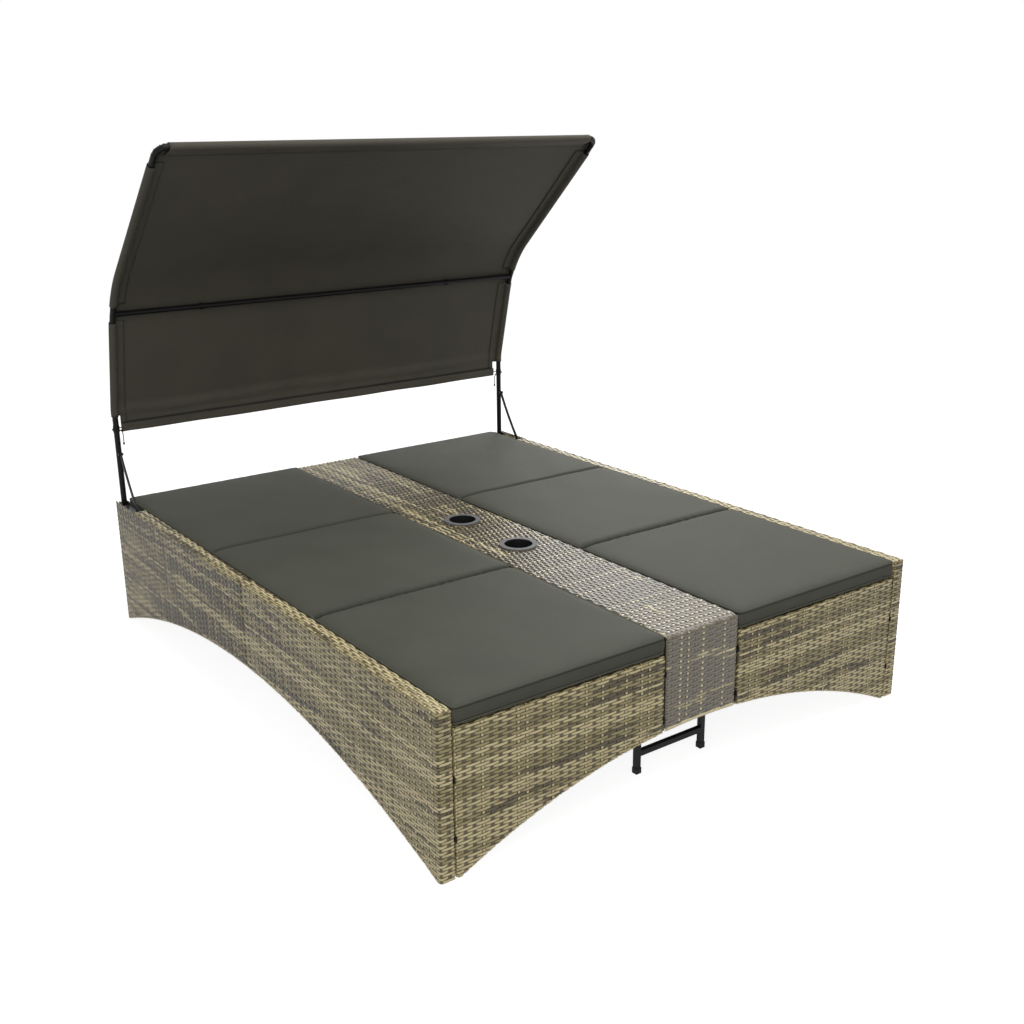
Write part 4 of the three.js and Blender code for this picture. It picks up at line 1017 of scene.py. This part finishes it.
def build_cushion(side, sizes, material):
    """One long cushion with a crown, two sewn folds and piping along its edges."""
    pad = Pad(side)
    lines = pad_lines(pad, sizes.cell)
    bm = bmesh.new()
    for axis in range(3):
        for value in (lines[axis][0], lines[axis][-1]):
            face_grid(bm, lines, axis, value)
    weld(bm)
    bmesh.ops.recalc_face_normals(bm, faces=bm.faces)
    # The seam layer holds the painted shade at the folds and along the piping
    seam = bm.verts.layers.float.new("seam")
    flat = np.array([vert.co for vert in bm.verts])
    for vert, place, near in zip(bm.verts, pad.shape(flat), pad.seams(flat)):
        vert.co = place
        vert[seam] = near
    for share in (0, 1):
        pad_piping(bm, pad, lines, share, sizes.piping)
    mesh = mesh_from(bm, f"cushion_{side}")
    shade_smooth(mesh)
    replaced = [f"cushion_{part}_{side}" for part in ("seat", "back", "crease")]
    piece = add_piece(f"cushion_{side}", mesh, material, "seat_cloth", None, *replaced)
    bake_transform(piece)


# Canopy

def bent_profile():
    """Places along the canopy's side tubes in the side view, with the way out of the cloth at each."""
    corners = [Vector((POST_Y, HEM_Z)), LEAN_CORNER, ROOF_CORNER, TOP_CORNER]
    places = [corners[0]]
    for k, bend in ((1, LEAN_BEND), (2, ROOF_BEND)):
        before = (corners[k] - corners[k - 1]).normalized()
        after = (corners[k + 1] - corners[k]).normalized()
        turn = before.angle(after)
        start = corners[k] - before * (bend * math.tan(turn / 2))
        centre = start + Vector((-before.y, before.x)) * bend
        count = max(4, math.ceil(bend * turn / BEND_CELL))
        for step in range(count + 1):
            places.append(centre + Matrix.Rotation(turn * step / count, 2) @ (start - centre))
    places.append(corners[3])
    return [np.array(place) for place in places]


class CanopyLine:
    """The canopy's side view as a line that gives a place and a way out at each distance."""

    def __init__(self):
        self.places = np.array(bent_profile())
        runs = np.linalg.norm(np.diff(self.places, axis=0), axis=1)
        self.distance = np.concatenate([[0], np.cumsum(runs)])
        self.length = self.distance[-1]

    def places_at(self, s):
        return np.column_stack([np.interp(s, self.distance, self.places[:, k]) for k in range(2)])

    def at(self, s):
        run = self.places_at(s + LINE_STEP) - self.places_at(s - LINE_STEP)
        run /= np.linalg.norm(run, axis=1, keepdims=True)
        return self.places_at(s), np.column_stack([run[:, 1], -run[:, 0]])

    def distance_at_height(self, z):
        return float(np.interp(z, self.places[:, 1], self.distance))


def cloth_rows(line):
    """Rows of the cloth: place, way out, offset and distance along, from the hem's turned edge to the bar."""
    hem = [(s, SLEEVE_RADIUS - HEM_LAYER) for s in np.linspace(HEM_DEPTH, HEM_EDGE, 8)]
    for turn in np.linspace(0, math.pi, 6)[1:-1]:
        offset = SLEEVE_RADIUS - HEM_ROLL - HEM_ROLL * math.cos(turn)
        hem.append((HEM_EDGE - HEM_ROLL * math.sin(turn), offset))
    hem_top = line.distance_at_height(SLEEVE_START_Z)
    cut = line.length - SLEEVE_CUTBACK
    stub = line.distance_at_height(CROSSBAR_Z)
    stops = [HEM_EDGE, hem_top, stub - STUB_OPENING, stub + STUB_OPENING, cut, line.length]
    along = [stops[:1]]
    for start, end, cell in zip(stops, stops[1:], CLOTH_CELLS):
        along.append(np.linspace(start, end, round((end - start) / cell) + 1)[1:])
    rows = np.array(hem + [(s, SLEEVE_RADIUS) for s in np.concatenate(along)])
    place, out = line.at(rows[:, 0])
    profile = place + out * rows[:, 1:]
    return profile, place, out, rows[:, 0]


def bar_rows(way, run):
    """Rows of the cloth's sleeve round the top bar and of its sewn flap below."""
    around = []
    for turn in np.linspace(0, BAR_WRAP, 12)[1:]:
        around.append(TOP_CORNER + SLEEVE_RADIUS * (way * math.cos(turn) + run * math.sin(turn)))
    flap_end = TOP_CORNER - run * BAR_FLAP + way * (SLEEVE_RADIUS - FLAP_LAYER)
    for share in np.linspace(0, 1, 6)[1:]:
        around.append(around[10].lerp(flap_end, share))
    return np.array(around)


def cloth_columns():
    """Columns of the cloth: place across, offset from the tube's line, and turn round the tube."""
    columns = []
    for reach in np.linspace(SLEEVE_FLAP, FLAP_START, 4):
        columns.append((POST_X - SLEEVE_RADIUS - reach, SLEEVE_RADIUS - SIDE_FLAP_LAYER, -180))
    for turn in np.linspace(-210, 90, 16):
        angle = math.radians(turn)
        columns.append((POST_X + SLEEVE_RADIUS * math.cos(angle), SLEEVE_RADIUS * math.sin(angle), turn))
    corner = np.linspace(CLOTH_CORNER_X, POST_X, 9)[:-1]
    sheet = np.concatenate([np.linspace(0, CLOTH_CORNER_X, 61)[:-1], corner])
    half = [(x, None, 90) for x in sheet] + columns[::-1]
    return [(-x, offset, turn) for x, offset, turn in half[:0:-1]] + half


def is_waste(x, along, turn, line):
    """Whether a place on the flat cloth is cut away: at a corner, below a sleeve or round a stub."""
    beyond = line.length - along
    at_stub = abs(along - line.distance_at_height(CROSSBAR_Z)) < STUB_OPENING
    if abs(x) > HEM_END_X and along < line.distance_at_height(SLEEVE_START_Z):
        return True
    if turn < 89 and (beyond < SLEEVE_CUTBACK or at_stub):
        return True
    corner = Vector((abs(x) - CLOTH_CORNER_X, ELBOW_BEND - beyond))
    return min(corner) > 0 and corner.length > ELBOW_BEND


def build_cloth(sizes, material):
    """The canopy's cloth: one sheet with a hem, a sleeve round each side tube and one round the top bar."""
    line = CanopyLine()
    profile, centres, ways, along = cloth_rows(line)
    run = (TOP_CORNER - ROOF_CORNER).normalized()
    bar = bar_rows(Vector((run.y, -run.x)), run)
    columns = cloth_columns()
    count = len(profile) + len(bar)
    places = np.zeros((count, len(columns), 3))
    for j, (x, offset, _) in enumerate(columns):
        side_view = profile if offset is None else centres + ways * offset
        places[:, j, 0] = x
        places[:, j, 1:] = np.vstack([side_view, bar])
    along = np.concatenate([along, np.full(len(bar), line.length + WELD)])
    sag_cloth(places, sizes)
    bm = bmesh.new()
    made = bmesh.ops.create_grid(bm, x_segments=len(columns) - 1, y_segments=count - 1, size=0.5)
    spot = {}
    for vert in made["verts"]:
        i, j = round((vert.co.y + 0.5) * (count - 1)), round((vert.co.x + 0.5) * (len(columns) - 1))
        spot[vert] = (columns[j][0], along[i], columns[j][2])
        vert.co = places[i, j]
    waste = []
    for face in bm.faces:
        x, far, turn = np.mean([spot[vert] for vert in face.verts], axis=0)
        if is_waste(x, far, turn, line):
            waste.append(face)
    bmesh.ops.delete(bm, geom=waste, context="FACES")
    area = sum(face.calc_area() for face in bm.faces)
    bmesh.ops.solidify(bm, geom=bm.faces[:], thickness=CLOTH_THICKNESS)
    bmesh.ops.recalc_face_normals(bm, faces=bm.faces)
    mesh = mesh_from(bm, "canopy_cloth")
    mark_stitches(mesh, line)
    shade_smooth(mesh)
    piece = add_piece("canopy_cloth", mesh, material, "canopy_cloth", "canopy", "canopy_fabric")


def mark_stitches(mesh, line):
    """Notes how near each place is to the stitches beside the sleeves, above the hem and below the bar."""
    co = places_of(mesh)
    run = np.array((TOP_CORNER - ROOF_CORNER).normalized())
    beside = np.abs(co[:, 0]) - (POST_X - SLEEVE_RADIUS - SLEEVE_FLAP)
    above = co[:, 2] - HEM_Z - HEM_DEPTH
    below = (co[:, 1:] - np.array(TOP_CORNER)) @ run + BAR_FLAP
    sides, hem, bar = fade(beside, STITCH_REACH), fade(above, STITCH_REACH), fade(below, BAR_STITCH_REACH)
    set_attribute(mesh, "seam", np.max([0.4 * sides, hem, 0.7 * bar], axis=0))


def sag_cloth(places, sizes):
    """Lets the roof sag and the back billow, with soft folds above the hem."""
    x, y, z = places[..., 0], places[..., 1], places[..., 2]
    spread = np.clip(1 - (x / POST_X) ** 2, 0, 1)
    quiet = np.clip(spread * 8, 0, 1)
    roof = TOP_CORNER - ROOF_CORNER
    run_y, run_z = roof.normalized()
    on_roof = np.clip(((y - ROOF_CORNER.x) * run_y + (z - ROOF_CORNER.y) * run_z) / roof.length, 0, 1)
    up_back = np.clip((z - HEM_Z) / (CROSSBAR_Z - HEM_Z), 0, 1)
    roof_wave, back_wave = np.sin(np.pi * on_roof), np.sin(np.pi * up_back)
    drop = sizes.roof_sag * spread * roof_wave**2
    drop -= ripples(x, z, ROOF_RIPPLE, 5) * roof_wave * quiet
    billow = sizes.back_sag * spread * back_wave
    billow += ripples(x, z, BACK_RIPPLE, 8) * back_wave * quiet
    crease_z = HEM_Z + HEM_CREASE + ripples(x, x * 0, CREASE_RIPPLE, 12)
    crease = CREASE[0] * bell(z - crease_z, CREASE[1]) * quiet
    near_stitch = bell(z - HEM_Z - HEM_DEPTH, HEM_REACH) * quiet
    gather = ripples(x, z * 2.5, GATHERS, 6) * near_stitch
    hem_wave = ripples(x, x * 0, HEM_RIPPLE, 9) * bell(z - HEM_Z, HEM_REACH) * quiet
    places[..., 1] = y - drop * run_z + billow + gather - crease
    places[..., 2] = z + drop * run_y + hem_wave


def build_tie(side, hand, material):
    """A cord from the hem's end round the post, knotted there and hanging down to a small knot."""
    curve = tube_curve(f"tie_{side}", TIE_DIAMETER / 2, 3)
    curve.resolution_u = 6
    curve.use_fill_caps = True
    spline = curve.splines.new("BEZIER")
    spline.bezier_points.add(len(TIE_ROUTE) - 1)
    for k, (point, (x, y, z)) in enumerate(zip(spline.bezier_points, TIE_ROUTE)):
        point.co = (hand * (POST_X + x), POST_Y + y, HEM_Z + z)
        point.radius = TIE_KNOTS.get(k, 1.0)
        point.handle_left_type = point.handle_right_type = "AUTO"
    piece = add_piece(f"tie_{side}", curve, material, "cord", "canopy", f"canopy_tie_{side}")


def build_hooks(material):
    """The black heads of the connectors that hold the panels together at the foot end."""
    bm = bmesh.new()
    for reach, heights in HOOK_PLACES:
        for hand in (-1, 1):
            for height in heights:
                made = bmesh.ops.create_cube(bm, size=1)
                place = Matrix.Translation((hand * reach, FOOT_Y, height))
                bmesh.ops.transform(bm, matrix=place @ Matrix.Diagonal((*HOOK_SIZE, 1)), verts=made["verts"])
    round_off(bm, bm.edges[:], HOOK_ROUNDING)
    add_piece("hook_heads", mesh_from(bm, "hook_heads"), material, "black_plastic", "root")


def build_collars(material):
    """The black collars where the crossbar's middle slides onto its stubs."""
    low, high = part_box("canopy_mid_bar")
    centre = (low + high) / 2
    radius = (high.z - low.z) / 2 + COLLAR_WALL
    bm = bmesh.new()
    form = {"segments": 32, "radius1": radius, "radius2": radius, "depth": COLLAR_LENGTH}
    for x in (low.x, high.x):
        made = bmesh.ops.create_cone(bm, cap_ends=True, **form)
        turn = Matrix.Translation((x, centre.y, centre.z)) @ Matrix.Rotation(math.pi / 2, 4, "Y")
        bmesh.ops.transform(bm, matrix=turn, verts=made["verts"])
    rims = [edge for edge in bm.edges if edge.calc_face_angle() > 1]
    round_off(bm, rims, COLLAR_WALL / 3)
    add_piece("crossbar_collars", mesh_from(bm, "crossbar_collars"), material, "black_plastic", "canopy")


# Operators

class DAYBED_OT_stage(bpy.types.Operator):
    """Sets the floor, the soft lamps and the camera at the photograph's angle"""

    bl_idname = "daybed.stage"
    bl_label = "Stage"

    camera_place = (-2.0889, -3.0381, 1.6460)
    azimuth = math.radians(36.18)
    down = math.radians(17.58)
    roll = math.radians(-0.57)
    focal = 43.27
    sensor = 36.0
    lamps = {
        "key": ((0.2, -1.7, 4.8), 3.5),
        "fill": ((-3.2, -3.4, 2.2), 3.0),
        "side": ((3.0, 0.6, 3.6), 2.0),
        "rim": ((3.2, 3.0, 2.0), 2.0),
    }
    lamp_aim = Vector((0, 0, 0.5))
    floor_reach = 30
    floor_drop = 0.001  # keeps the floor just under the legs
    floor_grey = 0.42
    floor_glow = 0.9

    def execute(self, context):
        settings = context.scene.daybed_stage
        self.add_camera(context)
        self.add_floor()
        self.add_world(context, settings.world)
        for name, (place, size) in self.lamps.items():
            self.add_lamp(name, Vector(place), getattr(settings, name), size)
        context.scene.view_settings.view_transform = "Standard"
        return {"FINISHED"}

    def add_camera(self, context):
        level = Vector((math.cos(self.azimuth), -math.sin(self.azimuth), 0))
        forward = Vector((math.sin(self.azimuth), math.cos(self.azimuth), 0)) * math.cos(self.down)
        forward.z = -math.sin(self.down)
        upright = level.cross(forward)
        right = level * math.cos(self.roll) + upright * math.sin(self.roll)
        up = upright * math.cos(self.roll) - level * math.sin(self.roll)
        turn = Matrix((right, up, -forward)).transposed().to_4x4()
        data = bpy.data.cameras.new("camera")
        data.lens = self.focal
        data.sensor_width = self.sensor
        camera = add_object("camera", data)
        camera.matrix_world = Matrix.Translation(self.camera_place) @ turn
        context.scene.camera = camera

    def add_floor(self):
        bm = bmesh.new()
        bmesh.ops.create_grid(bm, x_segments=2, y_segments=2, size=self.floor_reach)
        mesh = mesh_from(bm, "floor")
        floor = add_object("floor", mesh)
        floor.location.z = -self.floor_drop
        finish = Finish(bpy.data.materials.new("floor"))
        diffuse = finish.node("ShaderNodeBsdfDiffuse", None, {"Color": colour([self.floor_grey] * 3)})
        glow = finish.node("ShaderNodeEmission", None, {"Strength": finish.shown_rays() * self.floor_glow})
        both = finish.node("ShaderNodeAddShader", None, {0: diffuse, 1: glow})
        mesh.materials.append(finish.finished(both))

    def add_world(self, context, strength):
        finish = Finish(bpy.data.worlds.new("world"))
        level = finish.shown_rays() * (1 - strength) + strength
        sky = finish.node("ShaderNodeBackground", None, {"Color": (1, 1, 1, 1), "Strength": level})
        context.scene.world = finish.finished(sky, "ShaderNodeOutputWorld")

    def add_lamp(self, name, place, power, size):
        data = bpy.data.lights.new(name, "AREA")
        data.energy = power
        data.shape = "DISK"
        data.size = size
        lamp = add_object(name, data)
        lamp.visible_camera = False
        turn = (self.lamp_aim - place).to_track_quat("-Z", "Y")
        lamp.matrix_world = Matrix.Translation(place) @ turn.to_matrix().to_4x4()


class DAYBED_OT_ties(bpy.types.Operator):
    """Ties the canopy's hem to its posts with two cords"""

    bl_idname = "daybed.ties"
    bl_label = "Ties"

    def execute(self, context):
        material = cover_finish("cord", (0.022, 0.020, 0.016), 5200.0, 0.75, 0.2)
        for side, hand in SIDES.items():
            build_tie(side, hand, material)
        return {"FINISHED"}


class DAYBED_OT_panels(bpy.types.Operator):
    """Weaves the side panels and the end panels"""

    bl_idname = "daybed.panels"
    bl_label = "Woven panels"

    def execute(self, context):
        weave = context.scene.daybed_weave
        material = woven_finish("woven_resin", weave, 0.2)
        for side in SIDES:
            for end in ENDS:
                build_side_panel(side, end, weave, material)
                build_end_panel(side, end, weave, material)
        return {"FINISHED"}


class DAYBED_OT_hooks(bpy.types.Operator):
    """Sets the heads of the connectors into the seams of the foot end and the collars on the crossbar"""

    bl_idname = "daybed.hooks"
    bl_label = "Connectors"

    def execute(self, context):
        material = painted_finish("connector_plastic", (0.005, 0.005, 0.005), 0.42, 0.15)
        build_hooks(material)
        build_collars(material)
        return {"FINISHED"}


class DAYBED_OT_console(bpy.types.Operator):
    """Weaves the two halves of the console"""

    bl_idname = "daybed.console"
    bl_label = "Console"

    def execute(self, context):
        weave = context.scene.daybed_weave
        for end, hand in ENDS.items():
            build_console(end, hand, weave, woven_finish(f"console_{end}", weave, CONSOLE_GLOSS[end]))
        return {"FINISHED"}


class DAYBED_OT_cushions(bpy.types.Operator):
    """Sews the two long cushions"""

    bl_idname = "daybed.cushions"
    bl_label = "Cushions"

    def execute(self, context):
        sizes = context.scene.daybed_cushion
        material = cover_finish("seat_cloth", sizes.colour, 5200.0, 0.6, 0.15)
        for side in SIDES:
            build_cushion(side, sizes, material)
        return {"FINISHED"}


class DAYBED_OT_canopy(bpy.types.Operator):
    """Sews the canopy's cloth"""

    bl_idname = "daybed.canopy"
    bl_label = "Canopy cloth"

    def execute(self, context):
        sizes = context.scene.daybed_canopy
        material = cover_finish("canopy_cloth", sizes.colour, 6000.0, 0.6, 0.25)
        build_cloth(sizes, material)
        return {"FINISHED"}


class DAYBED_OT_fittings(bpy.types.Operator):
    """Finishes the steel, the bolts, the cup holders and the leg caps"""

    bl_idname = "daybed.fittings"
    bl_label = "Fittings"

    def execute(self, context):
        black_steel = painted_finish("black_steel", (0.005, 0.005, 0.0053), 0.3, 0.15)
        black_plastic = painted_finish("black_plastic", (0.005, 0.005, 0.005), 0.42, 0.15)
        bright_steel = steel_finish("bright_steel")
        plate_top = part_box("pivot_bolt_right")[0].z - BRACKET_DROP
        kinds = {
            "leg_cap": black_plastic,
            "seam_hooks": black_plastic,
            "post_bracket": bracket_finish("bracket", plate_top),
            "hinge_rod": bright_steel,
            "side_splice": bright_steel,
        }
        for end in ENDS:
            name = f"cup_holder_{end}"
            low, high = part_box(name)
            kinds[name] = cup_finish(name, (low + high) / 2, high.z)
        for name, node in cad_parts.items():
            material = next((kinds[kind] for kind in kinds if name.startswith(kind)), black_steel)
            for slot in node.material_slots:
                slot.material = material
        return {"FINISHED"}


class DAYBED_PT_panel(bpy.types.Panel):
    """Lists the daybed's pieces and sizes"""

    bl_idname = "DAYBED_PT_panel"
    bl_label = "Outdoor daybed"
    bl_space_type = "VIEW_3D"
    bl_region_type = "UI"
    bl_category = "Daybed"

    def draw(self, context):
        for operator in OPERATORS:
            self.layout.operator(operator.bl_idname)
        for name, kind in GROUPS.items():
            box = self.layout.box()
            for key in kind.__annotations__:
                box.prop(getattr(context.scene, name), key)


OPERATORS = (
    DAYBED_OT_stage,
    DAYBED_OT_ties,
    DAYBED_OT_panels,
    DAYBED_OT_hooks,
    DAYBED_OT_console,
    DAYBED_OT_cushions,
    DAYBED_OT_canopy,
    DAYBED_OT_fittings,
)
GROUPS = {
    "daybed_weave": DaybedWeave,
    "daybed_cushion": DaybedCushion,
    "daybed_canopy": DaybedCanopy,
    "daybed_stage": DaybedStage,
}


def register():
    for kind in (*GROUPS.values(), *OPERATORS, DAYBED_PT_panel):
        bpy.utils.register_class(kind)
    for name, kind in GROUPS.items():
        setattr(bpy.types.Scene, name, PointerProperty(type=kind))


def unregister():
    for name in GROUPS:
        delattr(bpy.types.Scene, name)
    for kind in (DAYBED_PT_panel, *reversed(OPERATORS), *reversed(GROUPS.values())):
        bpy.utils.unregister_class(kind)


def main():
    register()
    bpy.ops.daybed.stage()
    bpy.ops.daybed.ties()
    bpy.ops.daybed.fittings()
    bpy.ops.daybed.panels()
    bpy.ops.daybed.hooks()
    bpy.ops.daybed.console()
    bpy.ops.daybed.cushions()
    bpy.ops.daybed.canopy()


if __name__ == "__main__":
    main()
